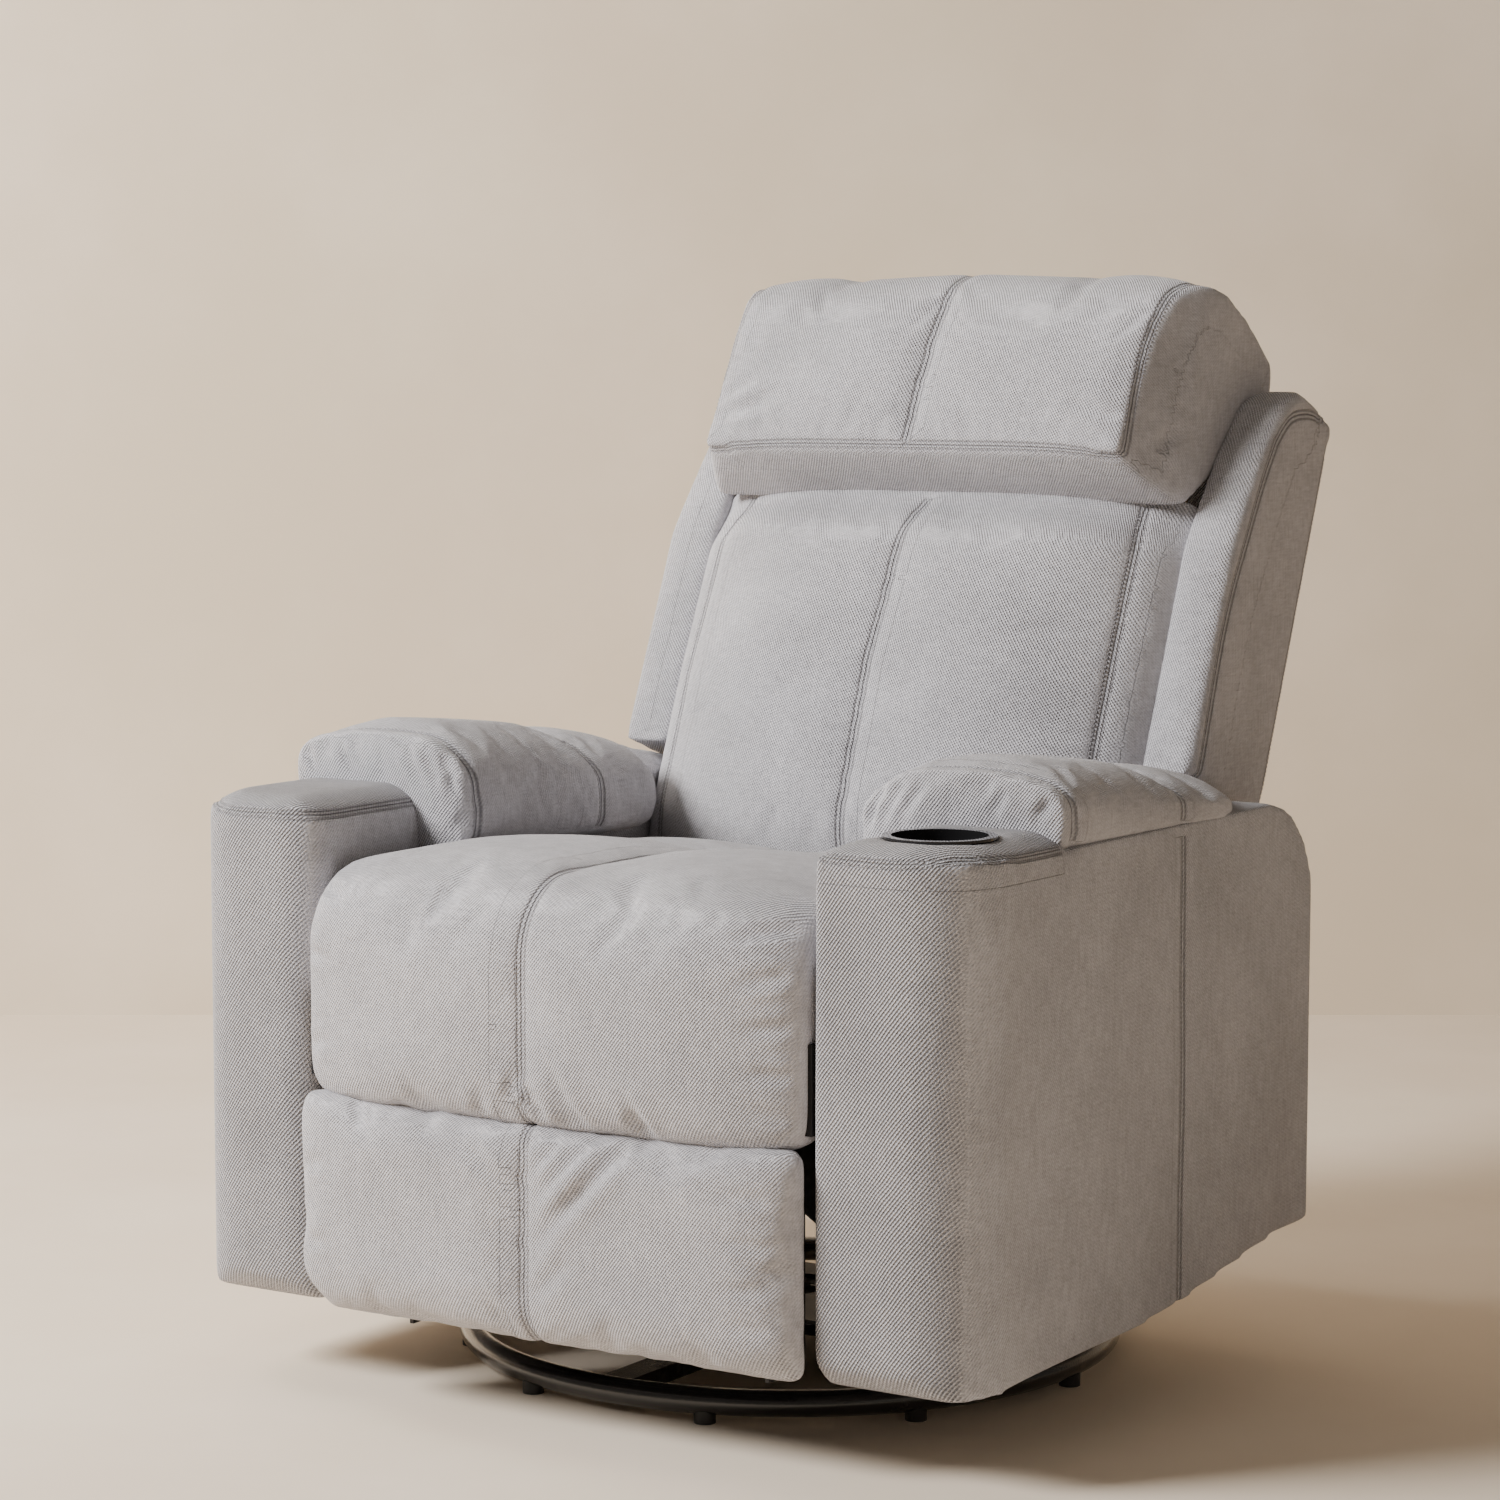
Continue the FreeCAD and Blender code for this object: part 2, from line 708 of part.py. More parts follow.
rest = scissor_rest_angle
joint_y = scissor_y - scissor_length * sine(rest)
half_scissor = scissor_length / 2
stud_hole = stud_radius + stud_play
open_hole = stud_radius + open_pivot_play

brace_bars = []
for name, side in sides:
    near = span(layer_one, layer_one + plate_thickness, side)
    far = span(layer_two, layer_end, side)
    through = span(layer_one, layer_end, side)
    # The lift bar turns on the fixed pin and leans forward as it rises.
    lift_bar = link((scissor_y, scissor_z), -rest, scissor_length, scissor_half_width, far,
                    holes=[(0, stud_hole), (half_scissor, stud_hole), (scissor_length, stud_hole)])
    keep(lift_bar, f"lift_bar_{name}")
    # The slide bar crosses it; its lower stud runs in the side plate's slot.
    slide_bar = link((joint_y, scissor_z), rest, scissor_length, scissor_half_width, near,
                     studs=[(0, stud_radius, through), (half_scissor, stud_radius, through),
                            (scissor_length, stud_radius, span(plate_inner, layer_one, side))])
    keep(slide_bar, f"slide_bar_{name}")
    # The brace bar closes the loop between the lift bar's foot and the footrest arm.
    half_y = joint_y - half_scissor * sine(rest)
    half_z = scissor_z - half_scissor * cosine(rest)
    brace_bar = link((half_y, half_z), rest, half_scissor, scissor_half_width, near,
                     holes=[(0, open_hole)], studs=[(half_scissor, stud_radius, through)])
    brace_bars.append(brace_bar)
    # The footrest arm is a plate that hangs from the slide bar and reaches the board.
    lean = sine(rest) / cosine(rest)
    arm_reach = as_dim(140)
    footrest_arm = extruded(
        [(-board_rear, scissor_z - 10), (-board_rear, scissor_z - arm_reach),
         (joint_y - arm_reach * lean + 8, scissor_z - arm_reach),
         (joint_y + scissor_half_width, scissor_z - 4), (joint_y + scissor_half_width - 3, scissor_z + 6),
         (joint_y - scissor_half_width + 3, scissor_z + 6)],
        far, holes=[(joint_y, scissor_z, stud_hole)])
    pivot_stud = span(layer_one, layer_two, side)
    crossing = cylinder("X", stud_radius, (pivot_stud[0], half_y, half_z),
                        pivot_stud[1] - pivot_stud[0])
    flange_x = span(layer_end, layer_end + 24, side)
    flange = box(flange_x, (-board_rear, -board_rear + 3), (scissor_z - arm_reach, scissor_z - 10))
    keep(fuse([footrest_arm, crossing, flange]), f"footrest_arm_{name}")

group(brace_bars, "brace_bars")

footrest_bottom = footrest_top - footrest_height
board_half = cushion_half - 8
footrest_board = box((-board_half, board_half), (-board_front, -board_rear),
                     (footrest_bottom + 10, footrest_top - 10))
keep(footrest_board, "footrest_board")
pad_outline = [(-board_front, footrest_bottom), (-board_front, footrest_top),
               (-footrest_front, footrest_top), (-footrest_front, footrest_bottom)]
footrest_pad = extruded(pad_outline, (-cushion_half, cushion_half),
                        rounds=[((2,), 22), ((3,), 30)], rim=fabric_round)
keep(footrest_pad, "footrest_pad")

# ---- arms: padded panels on a plywood frame -----------------------------------------------------------------

column_rear = -(arm_front_reach - arm_column)
pad_front = -pad_front_reach
panel_top = seat_height + 16
cap_low = arm_top - arm_panel
rear_low = arm_bottom + arm_bottom_rise
panel_outline = [
    (column_rear, arm_bottom + 2), (-60, arm_bottom + 12), (arm_rear_reach, rear_low),
    (arm_rear_reach, panel_top), (pad_front, panel_top), (pad_front, cap_low),
    (column_rear, cap_low),
]
inner_face = (inner, inner + arm_panel)
outer_face = (half_width - arm_panel, half_width)
hollow = (inner + arm_panel, half_width - arm_panel)
frame_front = pad_front - frame_board
frame_rear = arm_rear_reach - arm_frame_set_in
cup_x = (inner + half_width) / 2
cup_rim_radius = cup_radius + cup_lip
cup_y = -(arm_front_reach - cup_radius - cup_column_gap)

rear_strips = []
for name, side in sides:
    for face_name, face in (("inner", inner_face), ("outer", outer_face)):
        face_panel = extruded(panel_outline, span(*face, side), rounds=[((3,), arm_rear_round)])
        keep(face_panel, f"arm_{face_name}_panel_{name}")
    x_low, x_high = span(inner, half_width, side)
    outline = [(x_low, -arm_front_reach), (x_high, -arm_front_reach),
               (x_high, column_rear), (x_low, column_rear)]
    outer_corner = 1 if side > 0 else 0
    column = extruded(outline, (arm_bottom, arm_top), plane="XY",
                      rounds=[((outer_corner,), 38), ((1 - outer_corner,), 16)],
                      rim=8, rims=(1,))
    keep(column, f"arm_front_{name}")
    cap = box((x_low, x_high), (column_rear, pad_front), (cap_low, arm_top))
    if side > 0:
        cap = cut(cap, cylinder("Z", cup_radius + cup_wall + 0.5, (cup_x, cup_y, cap_low), arm_panel))
    keep(cap, f"arm_cap_{name}")
    rear_strips.append(box(span(*hollow, side), (arm_rear_reach - arm_panel, arm_rear_reach),
                           (rear_low, panel_top - arm_rear_round)))
    ribs = [box(span(*hollow, side), (y, y + frame_board), (rear_low + 20 + frame_board, seat_height - 2))
            for y in (frame_front, frame_rear)]
    ribs.append(box(span(*hollow, side), (column_rear, arm_rear_reach - arm_panel),
                    (rear_low + 20, rear_low + 20 + frame_board)))
    ribs.append(box(span(*hollow, side), (frame_front, frame_rear + frame_board),
                    (seat_height - 2, seat_height - 2 + frame_board)))
    group(ribs, f"arm_frame_{name}")
    pad_low = panel_top + 3.5
    pad_top = panel_top + pad_height + 3
    long_outline = [
        (pad_front + 1, pad_low), (arm_rear_reach - 100, pad_low),
        (arm_rear_reach - 60, panel_top - 4), (arm_rear_reach - 27, panel_top - 25),
        (arm_rear_reach - 27, panel_top + 3), (arm_rear_reach - 68, panel_top + 25),
        (arm_rear_reach - 153, panel_top + 52), (-81, pad_top - 18), (pad_front + 12, pad_top),
        (pad_front + 1, pad_top - 14),
    ]
    long_pad = extruded(long_outline, span(inner - 7, half_width, side), rim=pad_round)
    inner_roll = extruded(
        [(pad_front + 1, pad_low), (seat_rear, pad_low), (seat_rear + 4, pad_top - 60),
         (-81, pad_top - 30), (pad_front + 7, pad_top - 22)],
        span(inner - 60, inner + 20, side), rounds=[((2,), 12)], rim=12, rims=((0,) if side > 0 else (1,)))
    keep(fuse([long_pad, inner_roll]), f"arm_pad_{name}")

group(rear_strips, "arm_rear_strips")

cup_outer = cup_radius + cup_wall
cup = turned([(0, 0), (cup_outer, 0), (cup_outer, cup_depth + cup_wall),
              (cup_rim_radius, cup_depth + cup_wall), (cup_rim_radius, cup_depth + cup_wall * 2),
              (cup_radius, cup_depth + cup_wall * 2), (cup_radius, cup_wall), (0, cup_wall)],
             cup_x, cup_y, arm_top - cup_depth - cup_wall)
keep(cup, "cup_holder")

# A panel closes the chair at the rear between the arms, below the reclining back.
rear_panel = box((-inner, inner), (arm_rear_reach - arm_panel - 4, arm_rear_reach - 4),
                 (rear_low, rear_low + 110))
keep(rear_panel, "rear_skirt")

# A webbing tab beside the cushion pulls the footrest latch.
tab_middle = inner - cushion_gap / 2
tab_front = -(arm_front_reach - 110)
tab = box((tab_middle - tab_thickness / 2, tab_middle + tab_thickness / 2),
          (tab_front, tab_front + tab_width), (rail_top + 20, seat_height + 26))
keep(tab, "release_tab")

# ---- back: drawn in its own frame, along the back (up) and through it (towards the rear) -------------------

back_place = (back_pivot, back_pivot_z)
lean_back = {"place": back_place, "turn": -tilt}
wing_outer = half_width - wing_inset
wing_inner = wing_outer - wing_thickness
back_half = wing_inner - 15
post_rear = post_front + post_depth
post_inner = layer_one + plate_thickness
post_outer = post_inner + post_width
post_low = as_dim(40)
post_high = back_height - 30

bracket_outline = [(-24, -20), (10, -24), (post_rear - 4, post_low + 10), (post_rear - 4, post_low + 150),
                   (post_front + 4, post_low + 150), (post_front - 6, post_low + 20), (-10, 26), (-24, 12)]
recline_brackets = [extruded(bracket_outline, span(layer_one, post_inner, side),
                             holes=[(0, 0, pin_radius + pin_play)], **lean_back)
                    for name, side in sides]
group(recline_brackets, "recline_brackets")


def back_bar(stretch, through, along):
    """A square-cut timber in the back's own frame."""
    return extruded([(through[0], along[0]), (through[1], along[0]),
                     (through[1], along[1]), (through[0], along[1])], stretch, **lean_back)


through_post = (post_front, post_rear)
posts = [back_bar(span(post_inner, post_outer, side), through_post, (post_low, post_high))
         for name, side in sides]
group(posts, "back_posts")
rail_tops = (post_low + 50, back_height / 2 + 20, post_high)
rail_halves = (layer_one, post_inner, post_inner)
back_rails = [back_bar((-half, half), through_post, (top - 45, top))
              for half, top in zip(rail_halves, rail_tops)]
group(back_rails, "back_rails")

back_turn = FreeCAD.Rotation(Vector(1, 0, 0), -tilt.value)
back_origin = Vector(0, back_pivot.value, back_pivot_z.value)
back_springs = []
for number in range(4):
    across_place = (mechanism_half_width - 55).value * (2 * number / 3 - 1)
    through_place = (post_front - spring_wire_radius - 0.2).value
    local_start = Vector(across_place, through_place, (post_low + 20).value)
    back_springs.append(zigzag_spring(back_origin + back_turn.multVec(local_start),
                                      back_turn.multVec(Vector(0, 0, 1)), Vector(1, 0, 0),
                                      (post_high - post_low).value - 40, spring_half, spring_pitch,
                                      spring_wire_radius.value))
spring_group(back_springs, "back_springs")

headrest_low = back_height - 150
back_cushion_outline = [
    (-30, 58), (38, 58), (50, 86), (50, headrest_low - 12), (-10, headrest_low - 12),
    (-46, headrest_low - 60), (-60, back_height / 2 - 40), (-50, 90),
]
back_cushion = extruded(back_cushion_outline, (-back_half, back_half),
                        rounds=[((0, 4), 12), ((5, 6, 7), 60)], rim=fabric_round, **lean_back)
keep(back_cushion, "back_cushion")

head_front = -(headrest_thickness - 32)
headrest_outline = [
    (-56, headrest_low), (8, headrest_low), (28, headrest_low + 57), (48, back_height - 34),
    (75, back_height + 6), (157, back_height + 8), (150, back_height + 66), (62, back_height + 80),
    (10, back_height + 90), (-36, back_height + 58), (head_front, back_height - 20),
    (head_front, headrest_low + 34),
]
headrest = extruded(headrest_outline, (-back_half - 12, back_half + 12),
                    rounds=[((6, 8, 9, 10, 11), 14)], rim=12, **lean_back)
keep(headrest, "headrest")

wing_outline = [
    (34, wing_start), (back_depth, wing_start + 11), (back_depth, back_height),
    (112, back_height), (82, back_height - 28), (60, back_height - 75), (34, back_height - 190),
]
for name, side in sides:
    wing = extruded(wing_outline, span(wing_inner, wing_outer, side),
                    rounds=[((2,), 18), ((3, 4, 5, 6), 30)], rim=10, **lean_back)
    keep(wing, f"wing_{name}")

panel_front = back_depth - rear_panel_thickness
upper_panel = back_bar((-wing_inner + 1, wing_inner - 1), (panel_front, back_depth),
                       (wing_start + 12, back_height - 4))
keep(upper_panel, "back_rear_panel")
lower_panel = back_bar((-back_half, back_half), (panel_front, back_depth), (30, wing_start + 11))
keep(lower_panel, "back_lower_flap")

# ---- write every sub-part ---------------------------------------------------------------------------------------

document.recompute()
for item in document.Objects:
    if "Invalid" in item.State or "Error" in item.State:
        owner = item.getParentGeoFeatureGroup()
        owner = owner.Label if owner else "the document"
        raise RuntimeError(f"{item.Label} of {owner} failed: {item.State}")
labels = [node.Label for node in nodes]
if len(set(labels)) != len(labels):
    raise RuntimeError("two sub-parts share a name")
os.makedirs("parts", exist_ok=True)
for node in nodes:
    if node.Shape.isNull() or not node.Shape.isValid():
        raise RuntimeError(f"{node.Label} has no valid shape")
    node.Shape.exportStep(f"parts/{node.Label}.step")
print(len(nodes), "sub-parts written")
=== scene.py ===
import math

import bmesh
import bpy
import numpy
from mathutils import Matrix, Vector
from mathutils.bvhtree import BVHTree


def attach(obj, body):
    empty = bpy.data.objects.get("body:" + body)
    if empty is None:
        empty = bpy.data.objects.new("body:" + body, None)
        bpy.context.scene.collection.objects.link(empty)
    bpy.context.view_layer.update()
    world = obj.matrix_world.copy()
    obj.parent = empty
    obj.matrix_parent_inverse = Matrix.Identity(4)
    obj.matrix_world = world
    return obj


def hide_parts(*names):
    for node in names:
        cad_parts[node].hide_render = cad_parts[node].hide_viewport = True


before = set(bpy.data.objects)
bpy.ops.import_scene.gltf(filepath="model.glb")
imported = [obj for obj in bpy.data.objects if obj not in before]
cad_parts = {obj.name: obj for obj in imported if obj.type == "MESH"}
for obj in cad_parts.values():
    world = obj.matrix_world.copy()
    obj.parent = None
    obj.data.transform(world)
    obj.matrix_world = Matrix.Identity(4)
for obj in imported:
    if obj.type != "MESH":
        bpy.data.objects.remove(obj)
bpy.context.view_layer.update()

# ---- Studio -------------------------------------------------------------------------------
# The chair stands on a pale plaster-coloured floor in front of a wall of the same colour,
# with one large soft lamp high on the left and a weak fill on the right.

view_turn = math.radians(33.0)
view_tilt = math.radians(-5.736)
camera_data = bpy.data.cameras.new("camera")
camera_data.lens = 94.842
camera_data.sensor_width = 36.0
camera = bpy.data.objects.new("camera", camera_data)
camera.location = (2.0459, -3.2571, 0.9679)
camera.rotation_euler = (math.pi / 2 + view_tilt, 0.0, view_turn)
bpy.context.scene.collection.objects.link(camera)
bpy.context.scene.camera = camera


def link_mesh(name, mesh):
    """Put a mesh in the scene as an object at the origin."""
    piece = bpy.data.objects.new(name, mesh)
    bpy.context.scene.collection.objects.link(piece)
    return piece


def flat_sheet(name, corners):
    mesh = bpy.data.meshes.new(name)
    mesh.from_pydata(corners, [], [(0, 1, 2, 3)])
    return link_mesh(name, mesh)


class Flow:
    """A socket in a node tree.  Arithmetic on it adds the Math nodes."""

    def __init__(self, tree, socket):
        self.tree = tree
        self.socket = socket

    def math(self, operation, *others):
        node = self.tree.nodes.new("ShaderNodeMath")
        node.operation = operation
        for slot, value in zip(node.inputs, (self,) + others):
            plug(self.tree, slot, value)
        return Flow(self.tree, node.outputs[0])

    def __add__(self, other):
        return self.math("ADD", other)

    def __sub__(self, other):
        return self.math("SUBTRACT", other)

    def __rsub__(self, other):
        return self.math("MULTIPLY_ADD", -1.0, other)

    def __mul__(self, other):
        return self.math("MULTIPLY", other)

    def __truediv__(self, other):
        return self.math("DIVIDE", other)

    def __pow__(self, other):
        return self.math("POWER", other)

    def __abs__(self):
        return self.math("ABSOLUTE")

    def sine(self):
        return self.math("SINE")

    def between(self, low, high):
        """0 below low, 1 above high, and smooth between."""
        node = self.tree.nodes.new("ShaderNodeMapRange")
        node.interpolation_type = "SMOOTHSTEP"
        plug(self.tree, node.inputs["Value"], self)
        node.inputs["From Min"].default_value = low
        node.inputs["From Max"].default_value = high
        return Flow(self.tree, node.outputs["Result"])


def plug(tree, slot, value):
    """Link a flow to a socket, or set the socket's value."""
    if isinstance(value, Flow):
        tree.links.new(value.socket, slot)
    else:
        slot.default_value = value


class Finish:
    """A material with one Principled shader, built up by its methods."""

    def __init__(self, name, **settings):
        self.material = bpy.data.materials.new(name)
        self.material.use_nodes = True
        self.tree = self.material.node_tree
        self.shader = self.tree.nodes["Principled BSDF"]
        for label, value in settings.items():
            self.shader.inputs[label.replace("_", " ")].default_value = value

    def node(self, kind, settings=(), out=0, **values):
        """Add a node, with its settings first, then its sockets by name."""
        made = self.tree.nodes.new(kind)
        for label, value in dict(settings).items():
            setattr(made, label, value)
        for label, value in values.items():
            plug(self.tree, made.inputs[label.replace("_", " ")], value)
        return Flow(self.tree, made.outputs[out])

    def place(self):
        return self.node("ShaderNodeTexCoord", out="Object")

    def parts_of(self, vector):
        split = self.tree.nodes.new("ShaderNodeSeparateXYZ")
        plug(self.tree, split.inputs[0], vector)
        return [Flow(self.tree, output) for output in split.outputs]

    def noise(self, vector, scale, detail=2.0, roughness=0.5):
        return self.node("ShaderNodeTexNoise", Vector=vector, Scale=scale, Detail=detail,
                         Roughness=roughness)

    def stretched(self, vector, scale):
        return self.node("ShaderNodeMapping", Vector=vector, Scale=scale)

    def blend_colour(self, factor, first, second):
        made = self.tree.nodes.new("ShaderNodeMix")
        made.data_type = "RGBA"
        plug(self.tree, made.inputs[0], factor)
        plug(self.tree, made.inputs[6], first)
        plug(self.tree, made.inputs[7], second)
        return Flow(self.tree, made.outputs[2])

    def feed(self, label, value):
        plug(self.tree, self.shader.inputs[label], value)

    def relief(self, height, distance, strength=1.0):
        self.feed("Normal", self.node("ShaderNodeBump", Height=height, Distance=distance,
                                      Strength=strength))


plaster = Finish("plaster", Roughness=0.9, Specular_IOR_Level=0.2)
mottle = plaster.noise(plaster.place(), 1.3, 5.0, 0.6)
plaster.feed("Base Color", plaster.blend_colour(mottle.between(0.35, 0.7), (0.84, 0.72, 0.575, 1),
                                                (0.90, 0.785, 0.645, 1)))

floor = flat_sheet("floor", [(-9, -9, 0), (9, -9, 0), (9, 9, 0), (-9, 9, 0)])
floor.data.materials.append(plaster.material)

# The wall is clear from behind, so that the chair can be seen from every side.
wall_finish = Finish("wall_plaster", Roughness=0.95, Specular_IOR_Level=0.1)
wall_mottle = wall_finish.noise(wall_finish.place(), 1.1, 6.0, 0.6)
wall_finish.feed("Base Color", wall_finish.blend_colour(wall_mottle.between(0.35, 0.7),
                                                        (0.80, 0.685, 0.535, 1), (0.90, 0.785, 0.64, 1)))
clear_behind = wall_finish.tree.nodes.new("ShaderNodeMixShader")
see_through = wall_finish.tree.nodes.new("ShaderNodeBsdfTransparent")
facing = wall_finish.node("ShaderNodeNewGeometry", out="Backfacing")
wall_links = wall_finish.tree.links
plug(wall_finish.tree, clear_behind.inputs[0], facing)
wall_links.new(wall_finish.shader.outputs[0], clear_behind.inputs[1])
wall_links.new(see_through.outputs[0], clear_behind.inputs[2])
wall_links.new(clear_behind.outputs[0], wall_finish.tree.nodes["Material Output"].inputs[0])

wall_distance = 5.74
view_ahead = Vector((-math.sin(view_turn), math.cos(view_turn), 0))
view_right = Vector((math.cos(view_turn), math.sin(view_turn), 0))
wall_foot = Vector((camera.location.x, camera.location.y, 0)) + view_ahead * wall_distance
wall_corners = [wall_foot + view_right * side + Vector((0, 0, up))
                for side, up in ((-7, 0), (7, 0), (7, 6), (-7, 6))]
wall = flat_sheet("wall", [tuple(corner) for corner in wall_corners])
wall.data.materials.append(wall_finish.material)


def soft_lamp(name, place, aim, width, watts, colour):
    data = bpy.data.lights.new(name, "AREA")
    data.shape = "DISK"
    data.size = width
    data.energy = watts
    data.color = colour
    lamp = bpy.data.objects.new(name, data)
    lamp.location = place
    lamp.rotation_euler = (Vector(aim) - Vector(place)).to_track_quat("-Z", "Y").to_euler()
    bpy.context.scene.collection.objects.link(lamp)


soft_lamp("key", (-2.3, -2.9, 2.7), (0, 0, 0.5), 1.5, 305, (1.0, 0.98, 0.965))
soft_lamp("fill", (3.4, -1.6, 1.6), (0, 0, 0.5), 2.5, 6, (1.0, 0.86, 0.72))
soft_lamp("wall_wash", (-3.2, 0.2, 3.4), tuple(wall_foot + Vector((0, 0, 1.2))), 2.0, 92,
          (1.0, 0.95, 0.88))
world = bpy.data.worlds.new("studio")
world.use_nodes = True
world.node_tree.nodes["Background"].inputs["Color"].default_value = (0.80, 0.71, 0.62, 1)
world.node_tree.nodes["Background"].inputs["Strength"].default_value = 0.205
bpy.context.scene.world = world

# ---- Upholstery cloth ----------------------------------------------------------------------
# A soft chenille twill in a light cool grey: fat diagonal cords made of short tufts, with a
# slubby cross-thread, brushed patches and a faint sheen.

def chenille(name, cord_pitch, cord_strength, slant, relief):
    """Cords rise to the right where slant is 1 and to the left where it is -1."""
    cloth = Finish(name, Roughness=0.92, Specular_IOR_Level=0.15, Sheen_Weight=0.25,
                   Sheen_Roughness=0.5)
    place = cloth.place()
    wander = cloth.noise(place, 22.0, 3.0) * 0.005
    x, y, z = cloth.parts_of(place)
    facing = cloth.parts_of(cloth.node("ShaderNodeTexCoord", out="Normal"))
    facing_x, facing_y, facing_z = [abs(part) ** 6.0 for part in facing]
    total = facing_x + facing_y + facing_z + 0.0001
    tuft_pitch = cord_pitch * 0.8

    def twill(across, up, share=1.0):
        cords = ((across * (1.12 * slant) - up * 0.86 + wander) * (2 * math.pi / cord_pitch)).sine()
        tufts = ((across * (0.4 * slant) + up * 0.9) * (2 * math.pi / tuft_pitch) + cords * 1.2).sine()
        return (cords * 0.36 + tufts * 0.16) * share

    # On the sides of the chair the cords lie flat and the upright threads show more.
    weave = (twill(y, z, 0.2) * facing_x + twill(x, z) * facing_y + twill(x, y) * facing_z) / total
    slub_across = cloth.noise(cloth.stretched(place, (70.0, 70.0, 480.0)), 1.0, 2.0)
    slub_up = cloth.noise(cloth.stretched(place, (340.0, 340.0, 60.0)), 1.0, 2.0)
    slub = slub_across + slub_up - 1.0
    fuzz = cloth.noise(place, 700.0, 3.0, 0.7) - 0.5
    patches = cloth.noise(place, 5.0, 4.0, 0.6).between(0.3, 0.72)
    cord_share = (patches * 0.35 + 0.75) * cord_strength
    height = weave * cord_share + fuzz * 0.35 + slub * 0.4
    brushed = cloth.noise(place, 9.0, 5.0, 0.65).between(0.28, 0.75)
    # Painted shade: the cords' crests are lightened and their valleys darkened in the colour, following the
    # weave's relief. The brushed patches, slubs and fuzz are the cloth's own tone.
    shade = brushed * 0.16 + weave * cord_share * 0.8 + slub * 0.34 + fuzz * 0.22 + 0.42

    # Beside a seam the cloth is turned in along a fine line and pulled down under two stitch rows. Both are
    # dented in the relief, and both are darkened in the colour as painted shade in the groove.
    reach = abs(cloth.node("ShaderNodeAttribute", {"attribute_name": "seam_reach"}, out="Fac"))
    seam_groove_and_shade = 1.0 - reach.between(0.0002, 0.0013)
    stitch_dip_and_shade = 1.0 - abs(reach - stitch_row).between(0.0003, 0.0018)
    # Painted shade along the seam line and beside the stitch rows.
    shade = shade - seam_groove_and_shade * 0.55 - stitch_dip_and_shade * 0.34
    height = height - seam_groove_and_shade * 1.3 - stitch_dip_and_shade * 0.9
    cloth.feed("Base Color", cloth.blend_colour(shade.between(-0.15, 1.15), (0.225, 0.22, 0.238, 1),
                                                (0.85, 0.84, 0.885, 1)))
    cloth.relief(height, relief)
    return cloth.material


stitch_row = 0.0043
no_seam = 0.05
double_row = (-stitch_row, stitch_row)
fine_chenille = chenille("grey_chenille_fine", 0.0036, 1.25, 1, 0.0013)
back_chenille = chenille("grey_chenille_back", 0.0034, 1.1, -1, 0.0012)
bold_chenille = chenille("grey_chenille_bold", 0.0040, 2.1, 1, 0.0020)

thread = Finish("grey_thread", Roughness=0.7, Specular_IOR_Level=0.3)
ply = thread.noise(thread.place(), 1400.0, 1.0)
thread.feed("Base Color", thread.blend_colour(ply, (0.24, 0.23, 0.24, 1), (0.50, 0.485, 0.50, 1)))


def ease(value, low=0.0, high=1.0):
    """0 at low, 1 at high, level at both ends, for numbers or arrays."""
    part = numpy.clip((value - low) / (high - low), 0.0, 1.0)
    return part * part * (3 - 2 * part)


def dip(value, width):
    """1 at zero, falling away over a width on both sides."""
    return numpy.exp(-(value / width) ** 2)


def points_of(piece, value="co"):
    flat = numpy.empty(len(piece.data.vertices) * 3, dtype=numpy.float32)
    piece.data.vertices.foreach_get(value, flat)
    return flat.reshape(-1, 3).astype(float)


def normals_of(piece):
    return points_of(piece, "normal")


def set_points(piece, points):
    piece.data.vertices.foreach_set("co", points.astype(numpy.float32).ravel())
    piece.data.update()


def cad_mesh(*names):
    """One welded mesh of the named CAD solids."""
    joined = bmesh.new()
    for name in names:
        joined.from_mesh(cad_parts[name].data)
    bmesh.ops.remove_doubles(joined, verts=joined.verts, dist=0.00002)
    bmesh.ops.recalc_face_normals(joined, faces=joined.faces)
    mesh = bpy.data.meshes.new(names[0])
    joined.to_mesh(mesh)
    joined.free()
    return mesh


def baked(piece):
    """Apply every modifier of a piece to its mesh."""
    graph = bpy.context.evaluated_depsgraph_get()
    mesh = bpy.data.meshes.new_from_object(piece.evaluated_get(graph))
    piece.modifiers.clear()
    piece.data = mesh
    return piece


def even_skin(name, mesh, voxel, smooth=4):
    """A new object whose mesh is the shape's skin in even quads."""
    piece = link_mesh(name, mesh)
    remesh = piece.modifiers.new("even", "REMESH")
    remesh.mode = "VOXEL"
    remesh.voxel_size = voxel
    if smooth:
        soften = piece.modifiers.new("soften", "SMOOTH")
        soften.factor = 0.5
        soften.iterations = smooth
    return baked(piece)


